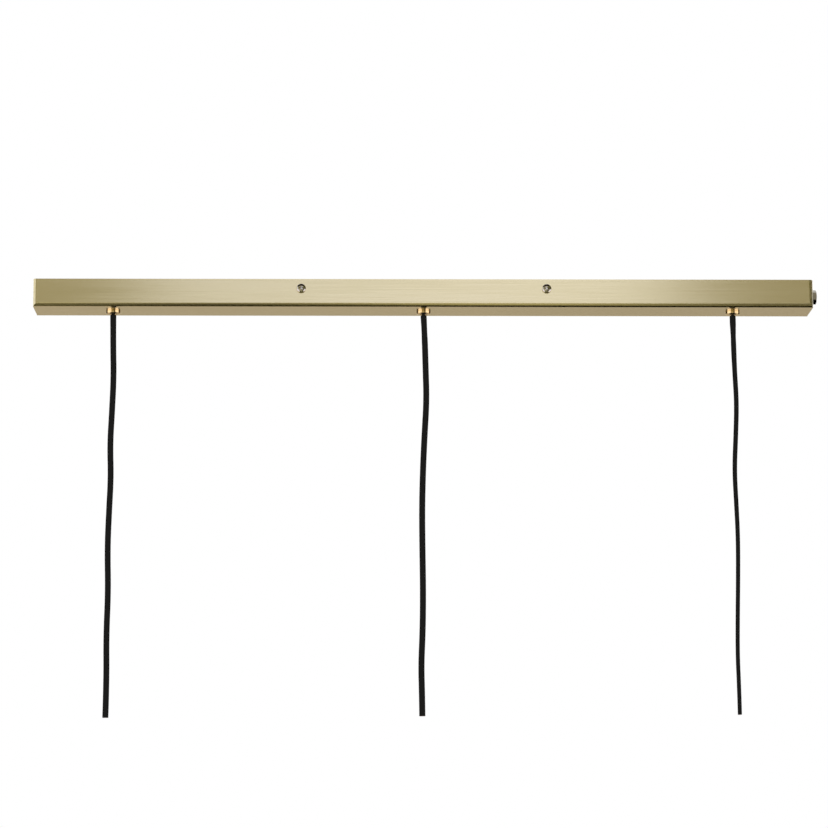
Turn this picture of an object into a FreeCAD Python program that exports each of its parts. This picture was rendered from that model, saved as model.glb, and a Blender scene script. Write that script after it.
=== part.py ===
import FreeCAD, Part
import math
import os

# A ceiling bar with three hanging cords. All sizes are in millimetres.
# x runs along the bar, the face with the visible screws looks towards -y, and z is up.
# The origin is in the ceiling plane, at the middle of the ceiling bracket.

os.makedirs("parts", exist_ok=True)
V = FreeCAD.Vector
UP = V(0, 0, 1)
DOWN = V(0, 0, -1)
ALONG = V(1, 0, 0)

# Canopy tray, folded sheet, open side against the ceiling
bar_length = 801.0
bar_depth = 52.0
bar_height = 28.5
tray_sheet = 1.2
bend_radius = 3.8
corner_radius = 4.0
outlet_end_margin = 80.5

# Cover screws, through the long faces into the bracket
cover_screw_spacing = 252.0
cover_screw_drop = 10.0
cover_screw_radius = 2.5
cover_screw_length = 12.0
cover_head_radius = 4.75
cover_head_height = 3.4
cover_hole_radius = 2.75

# Ceiling bracket, a strap with two arms whose ends are bent down
strap_width = 26.0
strap_sheet = 2.0
arm_width = 20.0
arm_bend_radius = 3.0
ear_length = 17.0
ear_corner = 3.0
slot_spacing = 210.0
slot_length = 16.0
slot_width = 5.3
cable_hole_radius = 9.0
cable_hole_x = -50.0
weld_nut_flats = 8.0
weld_nut_height = 4.0

# Cord: a flat twin flex under a black braid
cord_width = 6.1
cord_thickness = 3.8
core_radius = 1.2
core_pitch = 2.6
bare_radius = 0.55
bare_length = 5.0
core_lane = 12.5
core_wander = 1.3
core_wander_step = 1.9
core_longest_run = 48.0
core_fall_run = 60.0
core_bow_sag = 2.8
earth_bow_sag = 1.8
core_climb_run = 52.0
core_entry_run = 7.0
core_headroom_gap = 1.0

# Outlet ferrule, its black bush and what clamps them
flange_radius = 7.2
flange_rim = 2.0
flange_height = 3.0
flange_land_radius = 5.9
flange_bulge = 0.3
ferrule_stem_radius = 4.95
ferrule_bore_radius = 4.15
mouth_radius = 3.65
mouth_lip = 0.8
mouth_flare = 0.4
swing_depth = 0.35
washer_radius = 8.0
washer_sheet = 0.7
washer_teeth = 12
locknut_flats = 14.0
locknut_height = 2.5
stem_proud = 0.6
stop_radius = 6.5
stop_flat = 6.0
stop_height = 8.0
stop_screw_radius = 1.5
stop_head_radius = 2.7
stop_head_height = 1.8
tail_proud = 3.2

# Terminal block under the strap
block_x = 70.0
block_width = 20.0
block_height = 16.0
block_corner = 1.2
pole_pitch = 11.0
pole_drop = 9.0
sleeve_length = 14.0
sleeve_side = 6.0
sleeve_bore_radius = 2.2
entry_radius = 2.9
entry_stack = 1.25
terminal_screw_radius = 1.75
terminal_head_radius = 2.2
terminal_head_height = 1.8
terminal_screw_spacing = 8.0
terminal_screw_proud = 1.8
block_screw_radius = 1.5
block_head_radius = 2.75
block_head_height = 1.8
block_head_recess = 2.5

# Earth point on the strap
earth_x = 20.0
earth_y = 6.0
earth_screw_radius = 2.0
earth_head_radius = 3.8
earth_head_height = 2.4
lug_radius = 4.0
lug_sheet = 0.8
lug_neck = 3.0
lug_reach = 12.0
barrel_radius = 1.7
barrel_length = 7.0
barrel_wall = 1.3
barrel_lead = 4.5
earth_washer_radius = 4.4
earth_washer_sheet = 0.6

# Supply gland in the right end
inlet_drop = 13.0
inlet_flats = 13.0
inlet_flange = 2.2
inlet_stem_radius = 4.95
inlet_stem_inside = 6.5
inlet_thread_outside = 2.9
inlet_bore_radius = 3.6
inlet_nut_length = 4.0
inlet_nut_gap = 0.2
inlet_nut_wall = 0.9
seal_radius = 4.2
seal_bore_radius = 3.3
seal_length = 4.6

# Every machine screw, as shares of its head or thread
head_edge_share = 0.35
tip_share = 0.8
dome_mid_out = 0.72
dome_mid_up = 0.86
blade_share = 0.13
cross_reach_share = 0.5
cross_depth_share = 0.6
slot_depth_share = 0.45

# Clearances
running_gap = 0.05
slip_gap = 0.1
loose_gap = 0.15
cord_gap = 0.2
cord_end_gap = 0.3
cap_shortfall = 0.4
cap_round_share = 0.98
arc_share = 0.45

# Heights that follow from the sizes above
floor_z = tray_sheet - bar_height
under_z = -bar_height
land_z = under_z - flange_height
bush_foot_z = land_z + mouth_lip
pivot_z = land_z - swing_depth
stem_top_z = floor_z + washer_sheet + locknut_height + stem_proud
stop_top_z = stem_top_z + stop_height
tail_top_z = stop_top_z + tail_proud
pole_z = -pole_drop
core_top_z = -strap_sheet - core_radius - core_headroom_gap
core_rest_z = floor_z + core_radius + slip_gap
wall_y = bar_depth / 2 - tray_sheet
end_x = bar_length / 2
entry_depth = (block_width - sleeve_length) / 2
barrel_z = -strap_sheet - slip_gap - barrel_radius
lug_end_x = earth_x + lug_reach
block_screw_rows = (-pole_pitch / 2, pole_pitch / 2)
cap_height = cord_thickness / 2 - cap_shortfall
outlet_reach = end_x - outlet_end_margin

OUTLETS = {"left": -outlet_reach, "centre": 0.0, "right": outlet_reach}
POLES = {"neutral": -pole_pitch, "live": 0.0, "earth": pole_pitch}
block_length = len(POLES) * pole_pitch

# Each step of a core's way is three shares: of the run ahead, of the way across, of the height.
# First it leaves its cord, up into the headroom and out towards its lane.
CORE_RISE = [(0.0, 0.0, 0.0), (0.0, 0.0, 0.54), (0.023, 0.26, 0.94), (0.108, 0.64, 1.0)]
# Then it comes down to the tray's floor.
CORE_FALL = [(0.27, 0.88, 0.17), (0.47, 0.98, 0.51), (0.7, 1.0, 0.85), (1.0, 0.96, 1.0)]
# Then it climbs to its pole of the block.
CORE_CLIMB = [(0.0, 0.0, 0.03), (0.33, 0.33, 0.33), (0.62, 0.67, 0.79)]
# A middle core goes straight over in a slack bow, and so does the earth core to its lug.
CORE_BOW = [(0.27, 0.32, 0.43), (0.48, 0.46, 1.0), (0.69, 0.78, 0.5)]
EARTH_BOW = [(0.2, 0.0, 0.0), (0.38, 0.12, 1.0), (0.54, 0.5, 0.33)]

# Each cord's route, as (sideways, forward, down) from the point where it swings.
# The points were chosen by eye from the way the cords hang.
LEFT_ROUTE = [
    (0.0, 0.0, 0), (0.3, 0.2, 32), (1.3, 0.7, 66), (-0.1, 1.0, 104),
    (-1.5, 0.6, 136), (-0.1, -0.2, 170), (-1.5, -0.9, 205), (-2.6, -1.1, 244),
    (-1.3, -0.6, 288), (-2.7, 0.2, 332), (-1.8, 0.6, 378), (-2.5, 0.4, 415.4),
]
CENTRE_ROUTE = [
    (0.0, 0.0, 0), (1.2, -0.3, 26), (1.9, -0.8, 56), (2.8, -0.9, 90),
    (0.6, -0.3, 126), (-1.2, 0.5, 164), (-2.2, 1.0, 204), (-1.9, 0.8, 246),
    (-1.4, 0.1, 288), (-2.0, -0.6, 330), (-3.6, -0.5, 362), (-2.8, 0.1, 394), (-2.6, 0.2, 414.2),
]
RIGHT_ROUTE = [
    (0.0, 0.0, 0), (0.3, 0.3, 26), (1.0, 0.9, 58), (2.5, 1.1, 92),
    (0.9, 0.5, 126), (-1.4, -0.4, 162), (-0.2, -1.0, 198), (0.8, -1.0, 232),
    (0.2, -0.4, 272), (-1.0, 0.4, 314), (-1.8, 0.8, 352), (-1.0, 0.4, 386), (-0.8, 0.1, 413.0),
]
ROUTES = {"left": LEFT_ROUTE, "centre": CENTRE_ROUTE, "right": RIGHT_ROUTE}


def save(name, shape):
    """Report one piece and write it under its own name."""
    state = "ok" if shape.isValid() and shape.Volume > 0 else "BAD"
    print(f"{name:26s} {len(shape.Solids):2d} solids {shape.Volume:10.1f} mm3 {state}")
    shape.exportStep(f"parts/{name}.step")


def rod(radius, start, end):
    """A plain cylinder from one point to another."""
    return Part.makeCylinder(radius, (end - start).Length, start, end - start)


def block(low, high):
    """A plain box between two corners."""
    size = high - low
    return Part.makeBox(size.x, size.y, size.z, low)


def aimed(shape, place, towards):
    """Put a piece made on the z axis at a place, with its z axis turned towards a direction."""
    shape.Placement = FreeCAD.Placement(place, FreeCAD.Rotation(UP, towards))
    return shape


def turned(profile):
    """Turn a closed outline of (radius, height) edges about the z axis."""
    return Part.Face(Part.Wire(profile)).revolve(V(0, 0, 0), UP, 360)


def outline(points):
    """Straight edges through (radius, height) points, as a list."""
    corners = [V(radius, 0, height) for radius, height in points]
    return [Part.makeLine(a, b) for a, b in zip(corners, corners[1:])]


def bow(first, middle, last):
    """One arc edge through three (radius, height) points."""
    return Part.Arc(*[V(radius, 0, height) for radius, height in (first, middle, last)]).toShape()


def stadium(width, thickness, centre):
    """The outline of a flat cord seen end on: its wide side lies along x."""
    reach = (width - thickness) / 2
    half = thickness / 2
    front_left = centre + V(-reach, -half, 0)
    front_right = centre + V(reach, -half, 0)
    back_right = centre + V(reach, half, 0)
    back_left = centre + V(-reach, half, 0)
    return Part.Wire([
        Part.makeLine(front_left, front_right),
        Part.Arc(front_right, centre + V(width / 2, 0, 0), back_right).toShape(),
        Part.makeLine(back_right, back_left),
        Part.Arc(back_left, centre - V(width / 2, 0, 0), front_left).toShape(),
    ])


def flat_passage(width, thickness, x, low_z, high_z):
    """An upright hole or plug with the cord's flat section."""
    return Part.Face(stadium(width, thickness, V(x, 0, low_z))).extrude(V(0, 0, high_z - low_z))


def hex_prism(flats, start, end, bore_radius):
    """A nut from one point to another, with chamfered corners and a bore."""
    height = (end - start).Length
    corner = flats / math.sqrt(3)
    turns = [math.radians(60 * i) for i in range(7)]
    ring = [V(corner * math.cos(turn), corner * math.sin(turn), 0) for turn in turns]
    prism = Part.Face(Part.makePolygon(ring)).extrude(V(0, 0, height))
    inner = flats / 2
    drop = (corner - inner) / 2
    blank = turned(outline([
        (0, 0), (inner, 0), (corner, drop), (corner, height - drop), (inner, height), (0, height), (0, 0),
    ]))
    nut = prism.common(blank).cut(rod(bore_radius, V(0, 0, -1), V(0, 0, height + 1)))
    return aimed(nut, start, end - start)


def toothed_washer(inner_radius, outer_radius, sheet, start, towards):
    """A shakeproof washer with notches round its rim."""
    ring = rod(outer_radius, V(0, 0, 0), V(0, 0, sheet))
    ring = ring.cut(rod(inner_radius, V(0, 0, -1), V(0, 0, sheet + 1)))
    root_radius = (outer_radius + inner_radius) / 2
    half_notch = math.pi * outer_radius / washer_teeth / 4
    notches = []
    for i in range(washer_teeth):
        notch = block(V(root_radius, -half_notch, -1), V(outer_radius + 1, half_notch, sheet + 1))
        notch.rotate(V(0, 0, 0), UP, 360 * i / washer_teeth)
        notches.append(notch)
    return aimed(ring.cut(notches), start, towards)


def machine_screw(thread_radius, length, head_radius, head_height, place, out, recess):
    """A screw whose head bears at a place and rises in the direction out."""
    edge = head_height * head_edge_share
    tip_radius = thread_radius * tip_share
    shank_end = (thread_radius, thread_radius - tip_radius - length)
    profile = outline([
        (0, head_height), (0, -length), (tip_radius, -length), shank_end,
        (thread_radius, 0), (head_radius, 0), (head_radius, edge),
    ])
    dome_mid = (head_radius * dome_mid_out, head_height * dome_mid_up)
    profile += [bow((head_radius, edge), dome_mid, (0, head_height))]
    screw = turned(profile)
    blade = head_radius * blade_share
    reach = head_radius * cross_reach_share
    depth = head_height * cross_depth_share
    if recess == "slot":
        reach = head_radius + 1
        depth = head_height * slot_depth_share
    cutter = block(V(-reach, -blade, head_height - depth), V(reach, blade, head_height + 1))
    if recess == "cross":
        across = block(V(-blade, -reach, head_height - depth), V(blade, reach, head_height + 1))
        cutter = cutter.fuse(across)
    return aimed(screw.cut(cutter), place, out)


def rounded_path(name, points):
    """Straight runs joined by tangent arcs, each as large as its two runs allow."""
    edges = []
    radii = []
    begin = points[0]
    for before, corner, after in zip(points, points[1:], points[2:]):
        back = (before - corner).normalize()
        ahead = (after - corner).normalize()
        half_turn = (math.pi - back.getAngle(ahead)) / 2
        cut = arc_share * min((before - corner).Length, (after - corner).Length)
        radius = cut / math.tan(half_turn)
        inward = (back + ahead).normalize()
        start = corner + back * cut
        finish = corner + ahead * cut
        middle = corner + inward * (radius / math.cos(half_turn) - radius)
        edges.append(Part.makeLine(begin, start))
        edges.append(Part.Arc(start, middle, finish).toShape())
        radii.append(radius)
        begin = finish
    edges.append(Part.makeLine(begin, points[-1]))
    path = Part.Wire(edges)
    print(f"{name:26s} path {path.Length:7.1f} mm, least radius {min(radii):6.1f} mm")
    return path


def report_fill(name, shape, section_area, length):
    """Compare a tube's volume with its section times its length."""
    print(f"{name:26s} volume over section times length {shape.Volume / (section_area * length):.4f}")


def round_tube(name, points, radius):
    """A round core that follows a route."""
    path = rounded_path(name, points)
    section = Part.Wire(Part.makeCircle(radius, points[0], points[1] - points[0]))
    tube = path.makePipeShell([section], True, False)
    report_fill(name, tube, math.pi * radius ** 2, path.Length)
    return tube


def flat_tube(name, points):
    """The flat cord along a route that runs down from its first point."""
    path = rounded_path(name, points)
    section = stadium(cord_width, cord_thickness, points[0])
    sweep = Part.BRepOffsetAPI.MakePipeShell(path)
    sweep.setBiNormalMode(ALONG)
    sweep.add(section)
    sweep.build()
    sweep.makeSolid()
    tube = sweep.shape()
    report_fill(name, tube, Part.Face(section).Area, path.Length)
    return tube


def edges_at(shape, length, z):
    """The edges of one length whose middle is at one height."""
    return [e for e in shape.Edges if abs(e.Length - length) < 1e-6 and abs(e.CenterOfMass.z - z) < 1e-6]


def tray_block(length, depth, height, bend, corner):
    """A bar under the ceiling plane: bends along its lower edges, corners ground round upright."""
    low = V(-length / 2, -depth / 2, -height)
    high = V(length / 2, depth / 2, 0)
    folded = block(low, high)
    folded = folded.makeFillet(bend, edges_at(folded, length, -height))
    plan = block(low, high)
    return folded.common(plan.makeFillet(corner, edges_at(plan, height, -height / 2)))


def cover_screw_places():
    """Every cover screw by name, with its x place and its side of the bar."""
    places = {}
    for row, side in (("front", -1), ("rear", 1)):
        for end, hand in (("left", -1), ("right", 1)):
            places[f"{row}_{end}_cover_screw"] = (hand * cover_screw_spacing / 2, side)
    return places


def canopy_tray():
    """The folded tray with its outlet, screw and inlet holes."""
    outside = tray_block(bar_length, bar_depth, bar_height, bend_radius, corner_radius)
    inner_length = bar_length - 2 * tray_sheet
    inner_depth = bar_depth - 2 * tray_sheet
    inner_bend = bend_radius - tray_sheet
    inner_corner = corner_radius - tray_sheet
    inside = tray_block(inner_length, inner_depth, bar_height - tray_sheet, inner_bend, inner_corner)
    holes = []
    for x in OUTLETS.values():
        holes.append(rod(ferrule_stem_radius + loose_gap, V(x, 0, under_z - 1), V(x, 0, floor_z + 1)))
    for x, side in cover_screw_places().values():
        outer = V(x, side * (bar_depth / 2 + 1), -cover_screw_drop)
        inner = V(x, side * (wall_y - 1), -cover_screw_drop)
        holes.append(rod(cover_hole_radius, outer, inner))
    inlet_inner = V(end_x - tray_sheet - 1, 0, -inlet_drop)
    holes.append(rod(inlet_stem_radius + loose_gap, inlet_inner, V(end_x + 1, 0, -inlet_drop)))
    return outside.cut(inside).cut(holes)


def bracket_arm(x):
    """One cross arm of the bracket, with both ends bent down as ears."""
    half = arm_width / 2
    inner_y = wall_y - strap_sheet
    outer = block(V(x - half, -wall_y, -ear_length), V(x + half, wall_y, 0))
    outer = outer.makeFillet(arm_bend_radius, edges_at(outer, arm_width, 0))
    inner = block(V(x - half - 1, -inner_y, -ear_length - 1), V(x + half + 1, inner_y, -strap_sheet))
    inside_edges = edges_at(inner, arm_width + 2, -strap_sheet)
    arm = outer.cut(inner.makeFillet(arm_bend_radius - strap_sheet, inside_edges))
    return arm.makeFillet(ear_corner, edges_at(arm, strap_sheet, -ear_length))


def strap_hole(radius, x, y):
    """A round hole through the strap."""
    return rod(radius, V(x, y, -strap_sheet - 1), V(x, y, 1))


def ceiling_slot(x):
    """One slot for a ceiling screw, its long way along the bar."""
    return flat_passage(slot_length, slot_width, x, -strap_sheet - 1, 1)


def ceiling_bracket():
    """The strap that is screwed to the ceiling and carries the tray by its ears."""
    half_span = cover_screw_spacing / 2
    strap = block(V(-half_span, -strap_width / 2, -strap_sheet), V(half_span, strap_width / 2, 0))
    bracket = strap.fuse([bracket_arm(-half_span), bracket_arm(half_span)]).removeSplitter()
    holes = [ceiling_slot(-slot_spacing / 2), ceiling_slot(slot_spacing / 2)]
    holes.append(strap_hole(cable_hole_radius, cable_hole_x, 0))
    holes.append(strap_hole(earth_screw_radius + slip_gap, earth_x, earth_y))
    for y in block_screw_rows:
        holes.append(strap_hole(block_screw_radius + slip_gap, block_x, y))
    for x, side in cover_screw_places().values():
        outer = V(x, side * (wall_y + 1), -cover_screw_drop)
        inner = V(x, side * (wall_y - strap_sheet - 1), -cover_screw_drop)
        holes.append(rod(cover_hole_radius, outer, inner))
    return bracket.cut(holes)


def bracket_weld_nuts():
    """Four hexagon weld nuts on the inner faces of the ears."""
    nuts = []
    for x, side in cover_screw_places().values():
        seat = V(x, side * (wall_y - strap_sheet), -cover_screw_drop)
        inner = seat - V(0, side * weld_nut_height, 0)
        nuts.append(hex_prism(weld_nut_flats, seat, inner, cover_screw_radius + running_gap))
    return Part.makeCompound(nuts)


def cover_screw(x, side):
    """One polished pan head screw, just clear of the face that it holds."""
    seat = V(x, side * (bar_depth / 2 + slip_gap), -cover_screw_drop)
    out = V(0, side, 0)
    head = (cover_head_radius, cover_head_height)
    return machine_screw(cover_screw_radius, cover_screw_length, *head, seat, out, "cross")


def outlet_ferrule(x):
    """A turned brass ferrule: a round collar under the tray, a stem through it and a lip at its mouth."""
    rim_z = under_z - flange_rim
    edge_mid = ((flange_radius + flange_land_radius) / 2 + flange_bulge, (rim_z + land_z) / 2 - flange_bulge)
    profile = outline([
        (mouth_radius, land_z), (mouth_radius, bush_foot_z), (ferrule_bore_radius, bush_foot_z),
        (ferrule_bore_radius, stem_top_z), (ferrule_stem_radius, stem_top_z), (ferrule_stem_radius, under_z),
        (flange_radius, under_z), (flange_radius, rim_z),
    ])
    profile += [bow((flange_radius, rim_z), edge_mid, (flange_land_radius, land_z))]
    profile += outline([(flange_land_radius, land_z), (mouth_radius, land_z)])
    ferrule = turned(profile)
    ferrule.translate(V(x, 0, 0))
    return ferrule


def outlet_bush(x):
    """The black bush that lines the ferrule down to its lip, with a flared foot for the cord to swing in."""
    bush = rod(ferrule_bore_radius - slip_gap, V(x, 0, bush_foot_z), V(x, 0, stem_top_z))
    width = cord_width + 2 * cord_gap
    thickness = cord_thickness + 2 * cord_gap
    flare = Part.makeLoft([
        stadium(width, thickness, V(x, 0, bush_foot_z + mouth_flare)),
        stadium(width + 2 * mouth_flare, thickness + 2 * mouth_flare, V(x, 0, bush_foot_z)),
    ], True, True)
    passage = flat_passage(width, thickness, x, bush_foot_z - 1, stem_top_z + 1)
    return bush.cut(passage).cut(flare)


def outlet_locknut(x):
    """The thin nut that draws the ferrule up against the tray."""
    low_z = floor_z + washer_sheet
    top_z = low_z + locknut_height
    return hex_prism(locknut_flats, V(x, 0, low_z), V(x, 0, top_z), ferrule_stem_radius + slip_gap)


def cord_stop(x):
    """A nylon collar that stands on the ferrule and is clamped on the cord."""
    collar = rod(stop_radius, V(x, 0, stem_top_z), V(x, 0, stop_top_z))
    face = block(
        V(x - stop_radius, -stop_radius - 1, stem_top_z - 1), V(x + stop_radius, -stop_flat, stop_top_z + 1)
    )
    passage = flat_passage(
        cord_width + 2 * slip_gap, cord_thickness + 2 * slip_gap, x, stem_top_z - 1, stop_top_z + 1
    )
    screw_z = (stem_top_z + stop_top_z) / 2
    screw_hole = rod(stop_screw_radius + running_gap, V(x, -stop_radius - 1, screw_z), V(x, 0, screw_z))
    return collar.cut([face, passage, screw_hole])


def stop_screw(x):
    """The slotted screw that presses on the flat side of the cord."""
    length = stop_flat - cord_thickness / 2 - running_gap
    seat = V(x, -stop_flat, (stem_top_z + stop_top_z) / 2)
    head = (stop_head_radius, stop_head_height)
    return machine_screw(stop_screw_radius, length, *head, seat, V(0, -1, 0), "slot")


def cord_tail(x):
    """The clamped end of the cord, from the mouth of the bush to above the cord stop."""
    return flat_passage(cord_width, cord_thickness, x, pivot_z + cap_height + cord_end_gap, tail_top_z)


def hanging_cord(name):
    """The free cord: a flat tube with a rounded top that turns in the mouth of the bush."""
    x = OUTLETS[name]
    points = [V(x + sideways, forward, pivot_z - down) for sideways, forward, down in ROUTES[name]]
    tube = flat_tube(f"{name}_cord", points)
    top_z = pivot_z + cap_height
    cap = flat_passage(cord_width, cord_thickness, x, pivot_z, top_z)
    rim = [e for e in cap.Edges if all(abs(v.Z - top_z) < 1e-6 for v in e.Vertexes)]
    return tube.fuse(cap.makeFillet(cap_height * cap_round_share, rim)).removeSplitter()


def floor_run(first_x, last_x, lane_y):
    """Points of a core that lies on the tray's floor and wanders a little."""
    count = math.ceil(abs(last_x - first_x) / core_longest_run)
    points = []
    for i in range(1, count):
        x = first_x + (last_x - first_x) * i / count
        points.append(V(x, lane_y + core_wander * math.sin(core_wander_step * i), core_rest_z))
    return points


def core_start(start_x, heading, side):
    """A core's way up out of the cord's end and over towards its lane."""
    points = []
    for ahead, out, up in CORE_RISE:
        z = tail_top_z + up * (core_top_z - tail_top_z)
        points.append(V(start_x + heading * ahead * core_fall_run, side * out * core_lane, z))
    return points


def core_finish(heading, pole_y, entry_z):
    """A core's way into the terminal block, straight for its last stretch."""
    face_x = block_x - heading * block_width / 2
    return [
        V(face_x - heading * core_entry_run, pole_y, entry_z),
        V(face_x + heading * (entry_depth - slip_gap), pole_y, entry_z),
    ]


def long_core(start_x, heading, side, pole_y):
    """A core from an outer outlet, along the tray's floor to the block."""
    entry_z = pole_z - entry_stack
    lane_y = side * core_lane
    landed_x = start_x + heading * core_fall_run
    climb_x = block_x - heading * (block_width / 2 + core_climb_run)
    points = core_start(start_x, heading, side)
    for ahead, out, down in CORE_FALL:
        z = core_top_z + down * (core_rest_z - core_top_z)
        points.append(V(start_x + heading * ahead * core_fall_run, out * lane_y, z))
    points += floor_run(landed_x, climb_x, lane_y)
    for ahead, across, up in CORE_CLIMB:
        y = lane_y + across * (pole_y - lane_y)
        z = core_rest_z + up * (entry_z - core_rest_z)
        points.append(V(climb_x + heading * ahead * core_climb_run, y, z))
    return points + core_finish(heading, pole_y, entry_z)


def short_core(start_x, side, pole_y):
    """A core from the middle outlet, in a slack bow over to the block."""
    entry_z = pole_z + entry_stack
    lane_y = side * core_lane
    points = core_start(start_x, 1, side)
    for share, across, sag in CORE_BOW:
        x = start_x + share * (block_x - block_width / 2 - start_x)
        points.append(V(x, lane_y + across * (pole_y - lane_y), entry_z - sag * core_bow_sag))
    return points + core_finish(1, pole_y, entry_z)


def core_route(outlet, pole):
    """The points of one core, from its cord's end to its pole."""
    side = -1 if pole == "neutral" else 1
    start_x = OUTLETS[outlet] + side * core_pitch / 2
    if outlet == "centre":
        return short_core(start_x, side, POLES[pole])
    heading = 1 if outlet == "left" else -1
    return long_core(start_x, heading, side, POLES[pole])


def earth_route():
    """The short green and yellow core from the block to the ring lug."""
    first = core_finish(1, POLES["earth"], pole_z)[-1]
    last = V(lug_end_x - barrel_length + barrel_wall + slip_gap, earth_y, barrel_z)
    points = [first]
    for share, across, sag in EARTH_BOW:
        x = first.x + share * (last.x - first.x)
        points.append(V(x, first.y + across * (last.y - first.y), first.z - sag * earth_bow_sag))
    return points + [V(lug_end_x + barrel_lead, earth_y, barrel_z), last]


def bared_core_ends():
    """The bare copper ends of every core, inside the block's brass sleeves."""
    ends = []
    for heading, places in ((1, [-entry_stack, entry_stack]), (-1, [-entry_stack])):
        for pole in ("neutral", "live"):
            for lift in places:
                first = core_finish(heading, POLES[pole], pole_z + lift)[-1]
                ends.append(rod(bare_radius, first, first + V(heading * bare_length, 0, 0)))
    first = earth_route()[0]
    ends.append(rod(bare_radius, first, first + V(bare_length, 0, 0)))
    return Part.makeCompound(ends)


def sleeve_blank(pole_y, gap):
    """The outside of one brass sleeve, or its pocket when a gap is given."""
    half = V(sleeve_length / 2, sleeve_side / 2, sleeve_side / 2) + V(gap, gap, gap)
    centre = V(block_x, pole_y, pole_z)
    return block(centre - half, centre + half)


def terminal_screw_places():
    """The x and y of every clamp screw in the block."""
    return [(block_x + hand * terminal_screw_spacing / 2, y) for y in POLES.values() for hand in (-1, 1)]


def terminal_block():
    """The moulded housing, hollow for its sleeves, screws and wires."""
    low = V(block_x - block_width / 2, -block_length / 2, -strap_sheet - block_height)
    body = block(low, low + V(block_width, block_length, block_height))
    upright = [e for e in body.Edges if abs(e.Length - block_height) < 1e-6]
    body = body.makeFillet(block_corner, upright)
    low_z = low.z
    cuts = []
    for y in POLES.values():
        cuts.append(sleeve_blank(y, slip_gap))
        cuts.append(rod(entry_radius, V(low.x - 1, y, pole_z), V(low.x + block_width + 1, y, pole_z)))
    for x, y in terminal_screw_places():
        cuts.append(rod(terminal_head_radius + loose_gap, V(x, y, low_z - 1), V(x, y, pole_z)))
    for y in block_screw_rows:
        under = V(block_x, y, low_z - 1)
        cuts.append(rod(block_screw_radius + slip_gap, under, V(block_x, y, 1 - strap_sheet)))
        cuts.append(rod(block_head_radius + loose_gap, under, V(block_x, y, low_z + block_head_recess)))
    return body.cut(cuts)


def terminal_sleeves():
    """Three brass sleeves that join the wires of each pole."""
    sleeves = []
    for pole_y in POLES.values():
        bore_start = V(block_x - sleeve_length, pole_y, pole_z)
        holes = [rod(sleeve_bore_radius, bore_start, V(block_x + sleeve_length, pole_y, pole_z))]
        for x, y in terminal_screw_places():
            if y == pole_y:
                under = V(x, y, pole_z - sleeve_side)
                holes.append(rod(terminal_screw_radius + running_gap, under, V(x, y, pole_z)))
        sleeves.append(sleeve_blank(pole_y, 0).cut(holes))
    return Part.makeCompound(sleeves)


def terminal_screws():
    """Six slotted clamp screws, reached from under the block."""
    tip_z = pole_z - sleeve_bore_radius - slip_gap
    length = sleeve_side / 2 - sleeve_bore_radius + terminal_screw_proud
    head = (terminal_head_radius, terminal_head_height)
    screws = []
    for x, y in terminal_screw_places():
        seat = V(x, y, tip_z - length)
        screws.append(machine_screw(terminal_screw_radius, length, *head, seat, DOWN, "slot"))
    return Part.makeCompound(screws)


def block_screws():
    """Two screws that hold the block up against the strap."""
    seat_z = -strap_sheet - block_height + block_head_recess
    length = -seat_z - slip_gap
    head = (block_head_radius, block_head_height)
    screws = []
    for y in block_screw_rows:
        seat = V(block_x, y, seat_z)
        screws.append(machine_screw(block_screw_radius, length, *head, seat, DOWN, "cross"))
    return Part.makeCompound(screws)


def earth_lug():
    """A ring lug: a flat eye under the strap and a barrel for the wire."""
    top_z = -strap_sheet
    low_z = top_z - lug_sheet
    half_neck = lug_neck / 2
    barrel_start = V(lug_end_x - barrel_length, earth_y, barrel_z)
    barrel_end = V(lug_end_x, earth_y, barrel_z)
    eye = rod(lug_radius, V(earth_x, earth_y, low_z), V(earth_x, earth_y, top_z))
    neck_end = V(barrel_start.x + lug_sheet, earth_y + half_neck, top_z)
    neck = block(V(earth_x, earth_y - half_neck, low_z), neck_end)
    barrel = rod(barrel_radius, barrel_start, barrel_end)
    bore = rod(core_radius + running_gap, barrel_start + ALONG * barrel_wall, barrel_end + ALONG)
    hole_start = V(earth_x, earth_y, low_z - 1)
    hole = rod(earth_screw_radius + slip_gap, hole_start, V(earth_x, earth_y, top_z + 1))
    return eye.fuse([neck, barrel]).removeSplitter().cut([bore, hole])


def earth_washer():
    """A toothed washer between the lug and the screw's head."""
    start = V(earth_x, earth_y, -strap_sheet - lug_sheet)
    hole_radius = earth_screw_radius + slip_gap
    return toothed_washer(hole_radius, earth_washer_radius, earth_washer_sheet, start, DOWN)


def earth_screw():
    """The screw that holds the ring lug to the strap."""
    seat_z = -strap_sheet - lug_sheet - earth_washer_sheet
    seat = V(earth_x, earth_y, seat_z)
    head = (earth_head_radius, earth_head_height)
    return machine_screw(earth_screw_radius, -seat_z - slip_gap, *head, seat, DOWN, "cross")


def inlet_point(x):
    """A point on the supply gland's axis."""
    return V(x, 0, -inlet_drop)


def inlet_body():
    """The gland body: a hexagon flange outside, a stem through the end wall, an outer thread."""
    inner_x = end_x - tray_sheet - inlet_stem_inside
    flange_x = end_x + inlet_flange
    thread_x = flange_x + inlet_thread_outside
    flange = hex_prism(inlet_flats, inlet_point(end_x), inlet_point(flange_x), inlet_bore_radius)
    stem = rod(inlet_stem_radius, inlet_point(inner_x), inlet_point(thread_x))
    seat_x = thread_x - seal_length + slip_gap
    pocket = rod(seal_radius + slip_gap, inlet_point(seat_x), inlet_point(thread_x + 1))
    bore = rod(inlet_bore_radius, inlet_point(inner_x - 1), inlet_point(thread_x + 1))
    return flange.fuse(stem).removeSplitter().cut([bore, pocket])


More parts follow.
